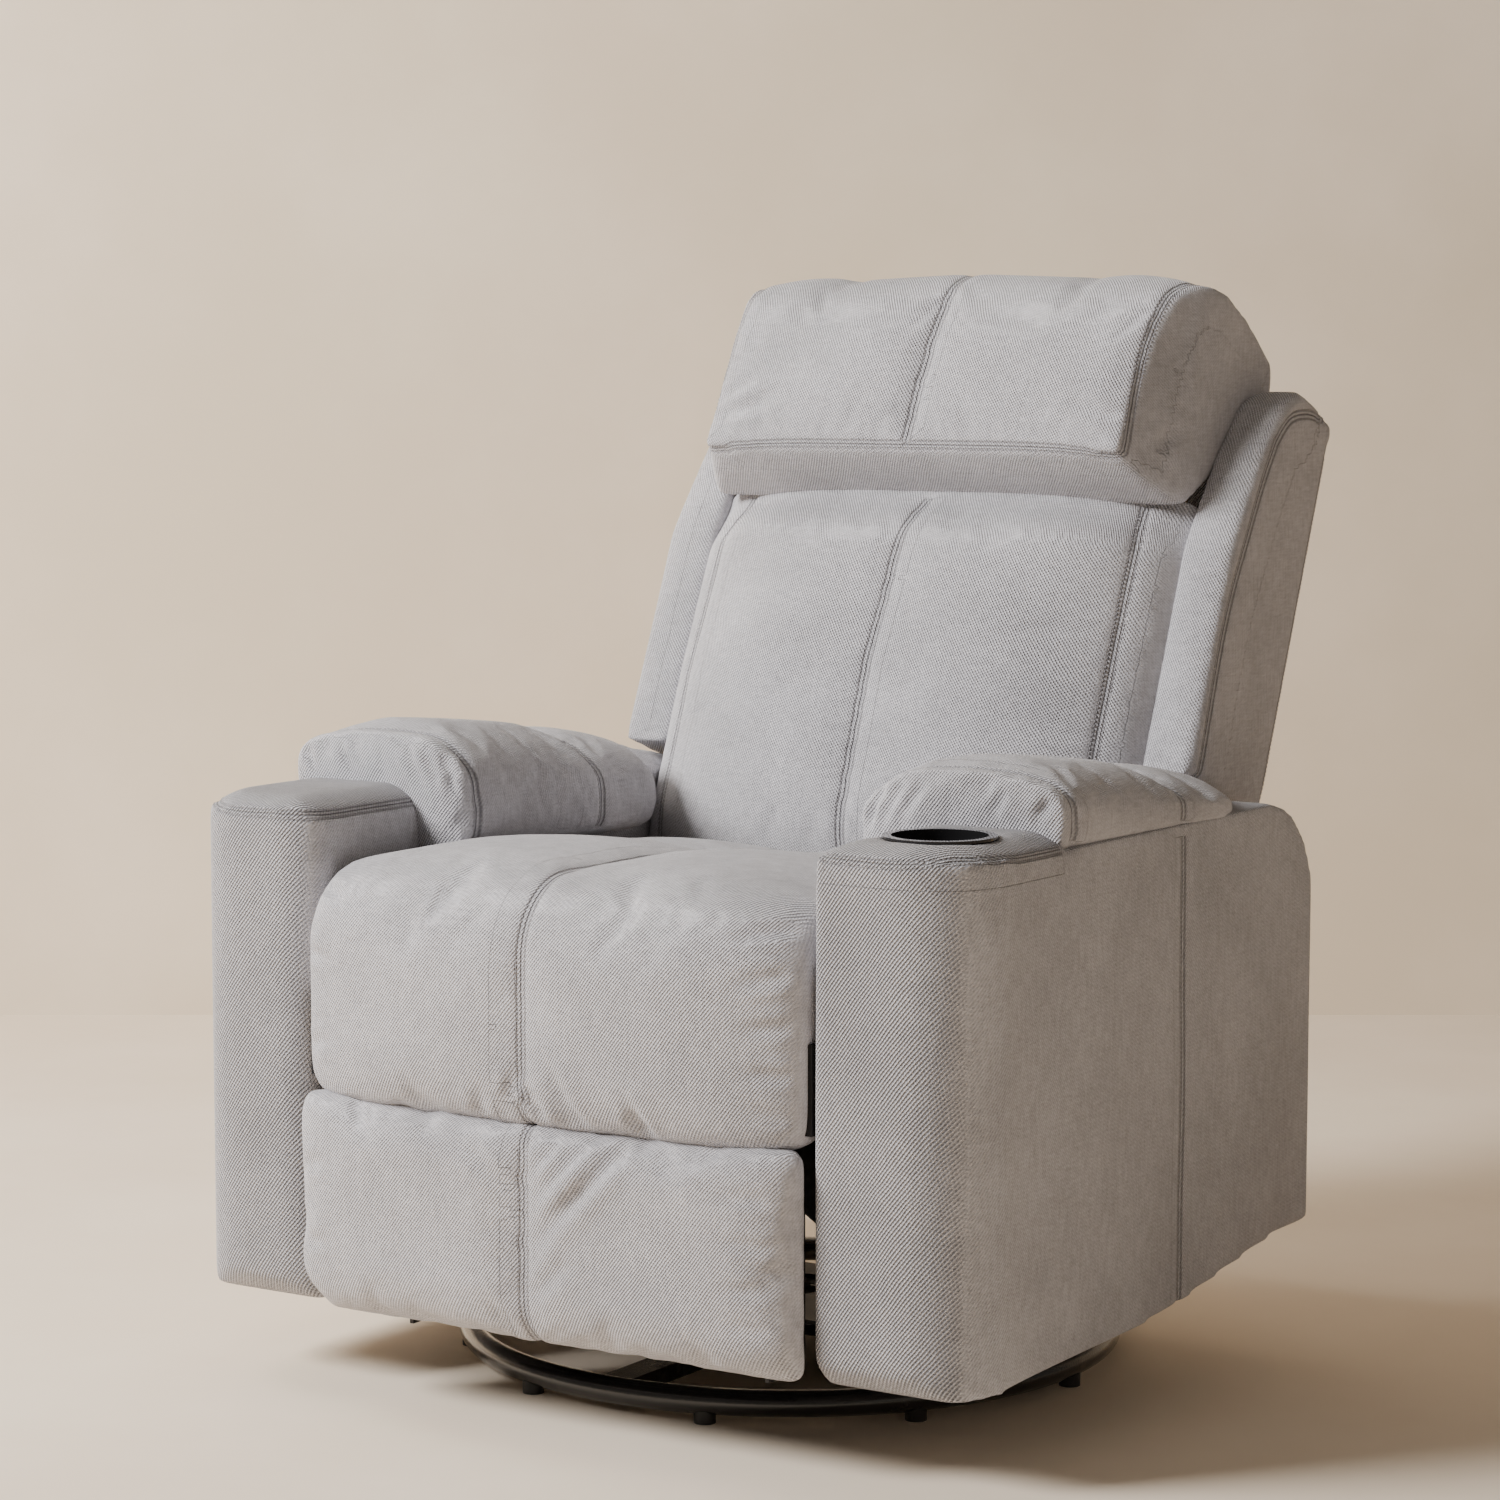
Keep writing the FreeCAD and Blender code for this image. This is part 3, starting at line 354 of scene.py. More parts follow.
def swell(piece, hold, cap, pressure=4.0, spare=0.01, bending=0.5, steps=18):
    """Blow the cover out over its filling.

    hold(points, normals) is 1 where the cover is sewn or nailed down, spare is the extra length
    of cloth, and cap is how far a point may move.
    """
    start = points_of(piece)
    grips = numpy.clip(hold(start, normals_of(piece)), 0.0, 1.0)
    group = piece.vertex_groups.new(name="sewn")
    for index, grip in enumerate(grips):
        if grip > 0.01:
            group.add([index], float(grip), "REPLACE")
    cloth = piece.modifiers.new("cover", "CLOTH")
    settings = cloth.settings
    settings.quality = 4
    settings.mass = 0.15
    settings.tension_stiffness = 12
    settings.compression_stiffness = 12
    settings.shear_stiffness = 4
    settings.bending_stiffness = bending
    settings.use_pressure = True
    settings.uniform_pressure_force = pressure
    settings.shrink_min = -spare
    settings.vertex_group_mass = "sewn"
    settings.effector_weights.gravity = 0
    cloth.collision_settings.use_collision = False
    cloth.point_cache.frame_start = 1
    cloth.point_cache.frame_end = steps
    scene = bpy.context.scene
    for step in range(1, steps + 1):
        scene.frame_set(step)
    baked(piece)
    shift = points_of(piece) - start
    length = numpy.sqrt((shift ** 2).sum(1))
    shift *= (numpy.minimum(length, cap) / numpy.maximum(length, 1e-9))[:, None]
    set_points(piece, start + shift)
    piece.vertex_groups.clear()
    scene.frame_set(1)


def finer(piece, smooth=1):
    """Subdivide a piece once its shape is settled."""
    soften = piece.modifiers.new("soften", "SMOOTH")
    soften.factor = 0.5
    soften.iterations = smooth
    divide = piece.modifiers.new("finer", "SUBSURF")
    divide.levels = 1
    divide.render_levels = 1
    baked(piece)


def skin_of(piece):
    mesh = piece.data
    return BVHTree.FromPolygons([vertex.co for vertex in mesh.vertices],
                                [tuple(face.vertices) for face in mesh.polygons])


def press_creases(piece, creases):
    """Press soft folds into a cover, each with a low bank on both sides.

    A crease is its start, end, width and depth.
    """
    bank_place = 1.9
    bank_height = 0.5
    reach_through = 0.05
    points = points_of(piece)
    normals = normals_of(piece)
    push = numpy.zeros(len(points))
    for start, end, width, depth in creases:
        start = numpy.array(start)
        run = numpy.array(end) - start
        part = numpy.clip(((points - start) @ run) / (run @ run), 0.0, 1.0)
        away = points - (start + part[:, None] * run)
        above = (away * normals).sum(1)
        away -= normals * above[:, None]
        near = numpy.sqrt((away ** 2).sum(1))
        shape = bank_height * dip(near - bank_place * width, width) - dip(near, width)
        fade_in = ease(part, 0.0, 0.25)
        fade_out = ease(1 - part, 0.0, 0.55)
        push += depth * shape * fade_in * fade_out * dip(above, reach_through)
    set_points(piece, points + normals * push[:, None])


def smooth_route(knots, steps=14):
    """A smooth line through a few knots."""
    knots = [Vector(knot) for knot in knots]
    ends = [knots[0] * 2 - knots[1]] + knots + [knots[-1] * 2 - knots[-2]]
    route = []
    for before, here, after, beyond in zip(ends, ends[1:], ends[2:], ends[3:]):
        for step in range(steps):
            t = step / steps
            route.append(0.5 * ((2 * here) + (after - before) * t
                                + (2 * before - 5 * here + 4 * after - beyond) * t ** 2
                                + (3 * here - before - 3 * after + beyond) * t ** 3))
    route.append(knots[-1])
    return route


def stitch_tree():
    """Geometry Nodes: short thread bars laid end to end along every run of edges."""
    tree = bpy.data.node_groups.new("stitches", "GeometryNodeTree")
    face = tree.interface
    face.new_socket("Geometry", in_out="INPUT", socket_type="NodeSocketGeometry")
    for label in ("Pitch", "Bar Length", "Thickness"):
        face.new_socket(label, in_out="INPUT", socket_type="NodeSocketFloat")
    face.new_socket("Thread", in_out="INPUT", socket_type="NodeSocketMaterial")
    face.new_socket("Geometry", in_out="OUTPUT", socket_type="NodeSocketGeometry")
    nodes = tree.nodes
    wires = tree.links
    given = nodes.new("NodeGroupInput")
    runs = nodes.new("GeometryNodeMeshToCurve")
    wires.new(given.outputs["Geometry"], runs.inputs[0])
    even = nodes.new("GeometryNodeResampleCurve")
    even.mode = "LENGTH"
    wires.new(runs.outputs[0], even.inputs["Curve"])
    wires.new(given.outputs["Pitch"], even.inputs["Length"])
    bar = nodes.new("GeometryNodeMeshUVSphere")
    bar.inputs["Segments"].default_value = 6
    bar.inputs["Rings"].default_value = 4
    bar.inputs["Radius"].default_value = 0.5
    along = nodes.new("GeometryNodeInputTangent")
    aim = nodes.new("FunctionNodeAlignRotationToVector")
    aim.axis = "Z"
    wires.new(along.outputs[0], aim.inputs["Vector"])
    size = nodes.new("ShaderNodeCombineXYZ")
    wires.new(given.outputs["Thickness"], size.inputs["X"])
    wires.new(given.outputs["Thickness"], size.inputs["Y"])
    wires.new(given.outputs["Bar Length"], size.inputs["Z"])
    laid = nodes.new("GeometryNodeInstanceOnPoints")
    wires.new(even.outputs[0], laid.inputs["Points"])
    wires.new(bar.outputs["Mesh"], laid.inputs["Instance"])
    wires.new(aim.outputs[0], laid.inputs["Rotation"])
    wires.new(size.outputs[0], laid.inputs["Scale"])
    real = nodes.new("GeometryNodeRealizeInstances")
    wires.new(laid.outputs[0], real.inputs[0])
    colour = nodes.new("GeometryNodeSetMaterial")
    wires.new(real.outputs[0], colour.inputs["Geometry"])
    wires.new(given.outputs["Thread"], colour.inputs["Material"])
    result = nodes.new("NodeGroupOutput")
    wires.new(colour.outputs[0], result.inputs[0])
    return tree


stitches = stitch_tree()
stitch_pitch = 0.0046
stitch_length = 0.0034
stitch_thickness = 0.0010
stitch_lift = 0.0002
seam_end_slack = 0.003
seam_search = 0.02


def upholster(piece, body, nodes, seams, creases=(), material=None):
    """Crease a cover, sink and stitch its seams, and hand it to its body.

    A seam is its route's knots, the sideways places of its stitch rows, and how deep and wide
    its groove is.  The cover keeps each point's distance from the nearest seam as seam_reach,
    with a sign for its side, and no_seam where none is near.
    """
    if creases:
        press_creases(piece, creases)
    skin = skin_of(piece)
    routes = []
    points = points_of(piece)
    push = numpy.zeros(len(points))
    seam_reach = numpy.full(len(points), no_seam)
    normals = normals_of(piece)
    for knots, rows, depth, width in seams:
        route = [skin.find_nearest(place)[:2] for place in smooth_route(knots)]
        routes.append(route)
        line = numpy.array([tuple(place) for place, normal in route])
        close_by = (points > line.min(0) - seam_search).all(1) & (points < line.max(0) + seam_search).all(1)
        chosen = numpy.nonzero(close_by)[0]
        near = numpy.full(len(chosen), 1.0)
        signed = numpy.full(len(chosen), no_seam)
        for first, last in zip(line, line[1:]):
            run = last - first
            away = points[chosen] - first
            part = numpy.clip((away @ run) / max(run @ run, 1e-12), 0.0, 1.0)
            away -= part[:, None] * run
            length = numpy.sqrt((away ** 2).sum(1))
            closer = length < near
            side = numpy.sign((away * numpy.cross(normals[chosen], run)).sum(1))
            beyond = numpy.abs(away @ run) > seam_end_slack * numpy.sqrt(max(run @ run, 1e-12))
            signed = numpy.where(closer, numpy.where(beyond, no_seam, side * length), signed)
            near = numpy.where(closer, length, near)
        push[chosen] = numpy.maximum(push[chosen], depth * dip(near, width)
                                     + 0.25 * depth * dip(near, width * 3.2))
        nearest = numpy.abs(signed) < numpy.abs(seam_reach[chosen])
        seam_reach[chosen] = numpy.where(nearest, signed, seam_reach[chosen])
    piece.data.attributes.new("seam_reach", "FLOAT", "POINT")
    piece.data.attributes["seam_reach"].data.foreach_set("value", seam_reach.astype(numpy.float32))
    set_points(piece, points - normals * push[:, None])
    skin = skin_of(piece)
    runs = []
    for (knots, rows, depth, width), route in zip(seams, routes):
        for row in rows:
            run = []
            for (place, normal), (after, _) in zip(route, route[1:]):
                side = normal.cross(after - place).normalized()
                landed, up = skin.find_nearest(place + side * row)[:2]
                run.append(landed + up * stitch_lift)
            runs.append(run)
    piece.data.materials.clear()
    piece.data.materials.append(material or fine_chenille)
    piece.data.shade_smooth()
    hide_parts(*nodes)
    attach(piece, body)
    if runs:
        sew(piece.name + "_stitching", runs, body)
    return piece


def sew(name, runs, body):
    """Lay stitches along runs of points, as one piece that rides on a body."""
    places = []
    edges = []
    for run in runs:
        first = len(places)
        places += [tuple(point) for point in run]
        edges += [(number, number + 1) for number in range(first, len(places) - 1)]
    mesh = bpy.data.meshes.new(name)
    mesh.from_pydata(places, edges, [])
    piece = link_mesh(name, mesh)
    modifier = piece.modifiers.new("stitches", "NODES")
    modifier.node_group = stitches
    sockets = {item.name: item.identifier for item in stitches.interface.items_tree
               if item.in_out == "INPUT"}
    modifier[sockets["Pitch"]] = stitch_pitch
    modifier[sockets["Bar Length"]] = stitch_length
    modifier[sockets["Thickness"]] = stitch_thickness
    modifier[sockets["Thread"]] = thread.material
    baked(piece)
    piece.data.shade_smooth()
    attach(piece, body)


# ---- Seat cushion ----------------------------------------------------------------------------
# One deep foam cushion that rolls over the front rail.  The cover is in two halves sewn down
# the middle, with a row of top stitching each side, and it gathers at its lower corners.

seat_high = Vector((0.269, 0.019, 0.512))
seat = even_skin("seat_cover", cad_mesh("seat_cushion"), 0.0072, 6)
points = points_of(seat)
side = numpy.abs(points[:, 0]) / seat_high.x
points[:, 1] += 0.036 * side ** 5 * ease(-points[:, 1], 0.33, 0.44)
points[:, 2] -= (0.015 * side ** 5 + 0.004) * ease(points[:, 2], 0.40, 0.47)
points[:, 2] -= 0.008 * ease(0.34 - points[:, 2], 0.0, 0.05) * ease(-points[:, 1], 0.40, 0.45)
points[:, 0] *= 1 + 0.012 * ease(-points[:, 1], 0.30, 0.40)
points[:, 2] -= 0.026 * ease(points[:, 1], -0.30, -0.04) * ease(points[:, 2], 0.42, 0.48)
set_points(seat, points)


def seat_hold(points, normals):
    side = ease(numpy.abs(points[:, 0]), seat_high.x - 0.03, seat_high.x - 0.008)
    seam = dip(points[:, 0], 0.007)
    rear = ease(points[:, 1], -0.02, 0.01)
    under = ease(-normals[:, 2], 0.1, 0.6) * ease(points[:, 1], -0.46, -0.42)
    return numpy.maximum.reduce([side, seam, rear, under])


swell(seat, seat_hold, 0.011, pressure=4.0, spare=0.008, bending=1.0)
finer(seat)
seat_seam = [(0, 0.0, 0.52), (0, -0.20, 0.52), (0, -0.36, 0.52), (0, -0.43, 0.505),
             (0, -0.465, 0.47), (0, -0.485, 0.40), (0, -0.48, 0.34), (0, -0.465, 0.30),
             (0, -0.44, 0.286)]
seat_creases = [
    ((0.066, -0.470, 0.284), (0.024, -0.484, 0.362), 0.0075, 0.0048),
    ((0.050, -0.470, 0.286), (0.034, -0.480, 0.322), 0.0060, 0.0026),
    ((0.130, -0.468, 0.284), (0.112, -0.482, 0.338), 0.0070, 0.0032),
    ((0.020, -0.470, 0.288), (0.005, -0.482, 0.334), 0.0060, 0.0036),
    ((-0.016, -0.474, 0.306), (-0.004, -0.482, 0.345), 0.0060, 0.0030),
    ((-0.052, -0.470, 0.288), (-0.040, -0.480, 0.330), 0.0070, 0.0022),
    ((0.262, -0.430, 0.480), (0.200, -0.455, 0.462), 0.006, 0.0030),
    ((0.264, -0.440, 0.440), (0.205, -0.462, 0.430), 0.006, 0.0032),
    ((0.264, -0.442, 0.395), (0.215, -0.462, 0.395), 0.006, 0.0028),
    ((0.262, -0.438, 0.350), (0.215, -0.460, 0.358), 0.006, 0.0028),
    ((0.262, -0.432, 0.312), (0.210, -0.455, 0.330), 0.006, 0.0025),
    ((-0.262, -0.430, 0.480), (-0.205, -0.455, 0.465), 0.006, 0.0025),
    ((-0.264, -0.440, 0.420), (-0.215, -0.462, 0.415), 0.006, 0.0025),
    ((-0.262, -0.434, 0.330), (-0.210, -0.458, 0.345), 0.006, 0.0025),
    ((0.004, -0.10, 0.512), (0.075, -0.075, 0.512), 0.008, 0.0030),
    ((-0.004, -0.13, 0.512), (-0.070, -0.10, 0.512), 0.008, 0.0028),
]
upholster(seat, "chair", ["seat_cushion"], [(seat_seam, double_row, 0.0026, 0.0065)],
          seat_creases)

# ---- Footrest pad ----------------------------------------------------------------------------
# A thick pad on a plywood board.  Its cover carries on the seat's middle seam, is tucked under
# with round lower corners, and pulls in long diagonal folds beside the seam.

foot_half = 0.269
foot = even_skin("footrest_cover", cad_mesh("footrest_pad"), 0.0068, 5)
points = points_of(foot)
side = numpy.abs(points[:, 0]) / foot_half
front = ease(-points[:, 1], 0.430, 0.478)
points[:, 1] += 0.020 * side ** 8 * front
drop = ease(0.15 - points[:, 2], 0.0, 0.075)
points[:, 0] *= 1.016 - 0.075 * drop ** 2 * ease(-points[:, 0], 0.10, 0.26)
points[:, 1] += 0.010 * ease(0.13 - points[:, 2], 0.0, 0.05) * front
points[:, 2] += 0.008 * ease(points[:, 2], 0.24, 0.27)
set_points(foot, points)


def foot_hold(points, normals):
    rear = ease(points[:, 1], -0.445, -0.436)
    seam = dip(points[:, 0], 0.007)
    return numpy.maximum(rear, seam)


swell(foot, foot_hold, 0.009, pressure=4.0, spare=0.012, bending=0.8)
finer(foot)
foot_seam = [(0, -0.45, 0.285), (0, -0.478, 0.27), (0, -0.488, 0.235), (0, -0.488, 0.19),
             (0, -0.482, 0.14), (0, -0.465, 0.10), (0, -0.445, 0.083)]
foot_creases = [
    ((0.116, -0.476, 0.284), (0.004, -0.484, 0.172), 0.0080, 0.0056),
    ((0.072, -0.478, 0.278), (0.010, -0.484, 0.216), 0.0075, 0.0032),
    ((0.038, -0.480, 0.276), (0.006, -0.484, 0.238), 0.0065, 0.0030),
    ((0.060, -0.482, 0.178), (0.008, -0.482, 0.130), 0.0080, 0.0026),
    ((-0.060, -0.480, 0.268), (-0.008, -0.484, 0.222), 0.0070, 0.0022),
    ((0.255, -0.450, 0.245), (0.190, -0.468, 0.250), 0.006, 0.0028),
    ((0.258, -0.448, 0.205), (0.200, -0.468, 0.212), 0.006, 0.0028),
    ((0.258, -0.448, 0.165), (0.200, -0.466, 0.175), 0.006, 0.0028),
    ((0.250, -0.445, 0.130), (0.195, -0.462, 0.148), 0.006, 0.0025),
    ((-0.258, -0.448, 0.225), (-0.205, -0.468, 0.228), 0.006, 0.0025),
    ((-0.255, -0.446, 0.150), (-0.200, -0.464, 0.165), 0.006, 0.0025),
]
upholster(foot, "footrest", ["footrest_pad"], [(foot_seam, double_row, 0.0026, 0.0065)],
          foot_creases)

# ---- Back cushion ----------------------------------------------------------------------------
# A tall crowned cushion in two halves.  The top stitched seams run down its middle and near
# each side, where a plain strip turns the cover back to the frame.

recline_pivot = Vector((0, 0.059, 0.390))
lean = math.radians(22.4)


def leaning(points):
    """Rows of (across, up the back, behind its face) from points."""
    y = points[:, 1] - recline_pivot.y
    z = points[:, 2] - recline_pivot.z
    return numpy.stack([points[:, 0], y * math.sin(lean) + z * math.cos(lean),
                        y * math.cos(lean) - z * math.sin(lean)], axis=1)


def upright(rows):
    """Points from rows of (across, up the back, behind its face)."""
    return numpy.stack([rows[:, 0],
                        recline_pivot.y + rows[:, 1] * math.sin(lean) + rows[:, 2] * math.cos(lean),
                        recline_pivot.z + rows[:, 1] * math.cos(lean) - rows[:, 2] * math.sin(lean)],
                       axis=1)


def on_back(*rows):
    return [tuple(point) for point in upright(numpy.array(rows, dtype=float))]


cushion_half = 0.268
cushion = even_skin("back_cover", cad_mesh("back_cushion"), 0.0075, 6)
rows = leaning(points_of(cushion))
side = numpy.abs(rows[:, 0]) / cushion_half
fore = numpy.clip((0.050 - rows[:, 2]) / 0.110, 0.0, 1.0)
rows[:, 2] += 0.088 * side ** 4 * fore
rows[:, 1] += 0.026 * ease(rows[:, 1], 0.36, 0.45)
rows[:, 0] *= 1.048
rows[:, 2] += 0.026 * ease(rows[:, 1], 0.405, 0.475) * fore
rows[:, 2] += 0.010 * ease(0.14 - rows[:, 1], 0.0, 0.08) * fore
set_points(cushion, upright(rows))


def cushion_hold(points, normals):
    rows = leaning(points)
    rear = ease(rows[:, 2], 0.012, 0.035)
    seam = dip(rows[:, 0], 0.007)
    flank = dip(numpy.abs(rows[:, 0]) - 0.240, 0.007)
    ends = ease(numpy.abs(rows[:, 1] - 0.258), 0.185, 0.198)
    return numpy.maximum.reduce([rear, seam, flank, ends])


swell(cushion, cushion_hold, 0.012, pressure=4.0, spare=0.006, bending=1.2)
finer(cushion)
cushion_seams = [(on_back((0, 0.075, -0.05), (0, 0.15, -0.065), (0, 0.30, -0.065), (0, 0.40, -0.060),
                          (0, 0.475, -0.028)), double_row, 0.0026, 0.0065)]
for way in (-1, 1):
    cushion_seams.append((on_back((way * 0.240, 0.085, 0.01), (way * 0.240, 0.20, 0.0),
                                  (way * 0.240, 0.36, 0.0), (way * 0.238, 0.475, 0.010)),
                          double_row, 0.0026, 0.0060))
upholster(cushion, "back", ["back_cushion"], cushion_seams, material=back_chenille)

# ---- Headrest --------------------------------------------------------------------------------
# A thick bolster sewn over the top of the back.  It laps over both wings, and its front panel
# is seamed down the middle, along its lower edge and up both ends.

def closed_mesh(name, corners, faces):
    """A mesh whose faces all look outward."""
    mesh = bpy.data.meshes.new(name)
    mesh.from_pydata(corners, [], faces)
    shape = bmesh.new()
    shape.from_mesh(mesh)
    bmesh.ops.recalc_face_normals(shape, faces=shape.faces)
    shape.to_mesh(mesh)
    shape.free()
    return mesh


def prism(name, outline, start, end, place):
    """A closed solid from an outline, stretched from start to end.  place orders the axes."""
    count = len(outline)
    corners = [place(u, v, start) for u, v in outline] + [place(u, v, end) for u, v in outline]
    faces = [tuple(range(count)), tuple(range(2 * count - 1, count - 1, -1))]
    faces += [(number, (number + 1) % count, (number + 1) % count + count, number + count)
              for number in range(count)]
    return closed_mesh(name, corners, faces)


head_outline = [(-0.077, 0.491), (-0.028, 0.477), (0.020, 0.468), (0.090, 0.545), (0.150, 0.585),
                (0.162, 0.640), (0.146, 0.688), (0.080, 0.708), (0.020, 0.714), (-0.016, 0.708),
                (-0.046, 0.682), (-0.062, 0.630), (-0.070, 0.570), (-0.073, 0.520)]
head_half = 0.280
head = even_skin("headrest_cover", prism("headrest", head_outline, -head_half, head_half,
                                         lambda w, u, across: on_back((across, u, w))[0]), 0.0072, 6)
rows = leaning(points_of(head))
side = numpy.abs(rows[:, 0]) / head_half
narrow = 1 - ease(rows[:, 2], -0.075, 0.035)
rows[:, 0] *= 1 - 0.12 * narrow
crown = ease(side, 0.55, 1.0)
rows[:, 1] -= 0.012 * crown ** 2 * ease(rows[:, 1], 0.62, 0.70)
set_points(head, upright(rows))


def head_hold(points, normals):
    rows = leaning(points)
    half = 0.242 + 0.030 * ease(rows[:, 2], -0.06, 0.04)
    seam = dip(rows[:, 0], 0.007)
    flank = dip(numpy.abs(rows[:, 0]) - half, 0.008) * ease(rows[:, 1], 0.48, 0.51)
    lower = dip(rows[:, 1] - 0.493, 0.008) * ease(-rows[:, 2], -0.02, 0.03)
    rear = ease(rows[:, 2], 0.135, 0.15)
    under = ease(0.493 - rows[:, 1], 0.0, 0.006)
    return numpy.maximum.reduce([seam, flank, lower, rear, under])


swell(head, head_hold, 0.012, pressure=4.0, spare=0.008, bending=1.0)
finer(head)
head_middle = on_back((0, 0.494, -0.078), (0, 0.55, -0.078), (0, 0.62, -0.072), (0, 0.68, -0.055),
                      (0, 0.712, -0.02), (0, 0.718, 0.03), (0, 0.712, 0.09), (0, 0.70, 0.14))
head_lower = on_back((-0.243, 0.496, -0.062), (-0.12, 0.494, -0.076), (0, 0.493, -0.079),
                     (0.12, 0.494, -0.076), (0.243, 0.496, -0.062))
head_seams = [(head_middle, double_row, 0.0026, 0.0065), (head_lower, double_row, 0.0026, 0.0060)]
for way in (-1, 1):
    route = on_back((way * 0.241, 0.495, -0.062), (way * 0.241, 0.58, -0.062),
                    (way * 0.243, 0.64, -0.052), (way * 0.250, 0.69, -0.025),
                    (way * 0.262, 0.705, 0.03), (way * 0.270, 0.700, 0.09),
                    (way * 0.272, 0.69, 0.14))
    head_seams.append((route, double_row, 0.0026, 0.0060))
head_creases = [
    (on_back((-0.235, 0.522, -0.062))[0], on_back((-0.150, 0.548, -0.078))[0], 0.008, 0.0040),
    (on_back((-0.238, 0.540, -0.060))[0], on_back((-0.180, 0.570, -0.072))[0], 0.007, 0.0030),
    (on_back((0.236, 0.525, -0.060))[0], on_back((0.170, 0.545, -0.074))[0], 0.007, 0.0028),
    (on_back((0.252, 0.505, -0.030))[0], on_back((0.262, 0.550, 0.000))[0], 0.008, 0.0040),
    (on_back((-0.252, 0.505, -0.030))[0], on_back((-0.262, 0.550, 0.000))[0], 0.008, 0.0040),
]
upholster(head, "back", ["headrest"], head_seams, head_creases, material=back_chenille)

# ---- Wings -----------------------------------------------------------------------------------
# A padded upright board on each side of the back cushion.  The inner cover turns round the
# front edge and is top stitched to a flatter outer panel.


def add_wing(way, label):
    wing = even_skin("wing_cover_" + label, cad_mesh("wing_" + label), 0.0062, 5)
    rows = leaning(points_of(wing))
    rows[:, 1] += 0.012 * ease(rows[:, 1], 0.54, 0.60) - 0.018 * ease(0.26 - rows[:, 1], 0.0, 0.04)
    inner_side = ease(0.315 - rows[:, 0] * way, 0.0, 0.02)
    inner_front = ease(0.14 - rows[:, 2], 0.0, 0.05)
    rows[:, 0] -= way * 0.007 * inner_side * inner_front
    rows[:, 2] -= 0.008 * ease(0.08 - rows[:, 2], 0.0, 0.04)
    set_points(wing, upright(rows))

    def wing_hold(points, normals):
        rows = leaning(points)
        outer = ease(rows[:, 0] * way, 0.325, 0.333) * 0.9
        inner = ease(0.291 - rows[:, 0] * way, 0.0, 0.006) * 0.9
        ends = ease(numpy.abs(rows[:, 1] - 0.417), 0.188, 0.2)
        rear = ease(rows[:, 2], 0.18, 0.195)
        return numpy.maximum.reduce([outer, inner, ends, rear])

    swell(wing, wing_hold, 0.006, pressure=3.5, spare=0.004, bending=1.2)
    finer(wing)
    seam_x = way * 0.331
    front = on_back((seam_x, 0.200, 0.048), (seam_x, 0.355, 0.042), (seam_x, 0.458, 0.055),
                    (way * 0.330, 0.540, 0.072), (way * 0.328, 0.590, 0.095),
                    (way * 0.322, 0.612, 0.13), (way * 0.322, 0.618, 0.16), (way * 0.322, 0.618, 0.195))
    rear = on_back(*[(way * 0.332, up, 0.190) for up in (0.225, 0.42, 0.60)])
    upholster(wing, "back", ["wing_" + label],
              [(front, double_row, 0.0022, 0.0055), (rear, double_row, 0.0018, 0.005)],
              material=back_chenille)


add_wing(-1, "left")
add_wing(1, "right")

# ---- Arms ------------------------------------------------------------------------------------
# Each arm is a timber box in one fitted cover: a front panel with bold diagonal cords that
# wraps round the corner, a flatter outer side in two lengths, and a level shelf on top.

arm_inner = 0.275
arm_outer = 0.430
arm_front = 0.441
arm_rear = 0.241
shelf_height = 0.5565
cup_place = (0.3525, -0.351)
corner_across = 0.075
corner_back = 0.080
cup_hole = 0.0465
panel_height = 0.542
rear_round = 0.1
shelf_rear = -0.262


def arc(centre_y, centre_z, radius, start, end, steps=6):
    return [(centre_y + radius * math.cos(math.radians(start + (end - start) * step / steps)),
             centre_z + radius * math.sin(math.radians(start + (end - start) * step / steps)))
            for step in range(steps + 1)]


def carved(name, first, second, operation="DIFFERENCE"):
    """The first solid less the second, or what the two share."""
    piece = link_mesh(name, first)
    tool = link_mesh(name + "_tool", second)
    cutter = piece.modifiers.new("carved", "BOOLEAN")
    cutter.operation = operation
    cutter.solver = "EXACT"
    cutter.object = tool
    baked(piece)
    bpy.data.objects.remove(tool)
    mesh = piece.data
    bpy.data.objects.remove(piece)
    return mesh


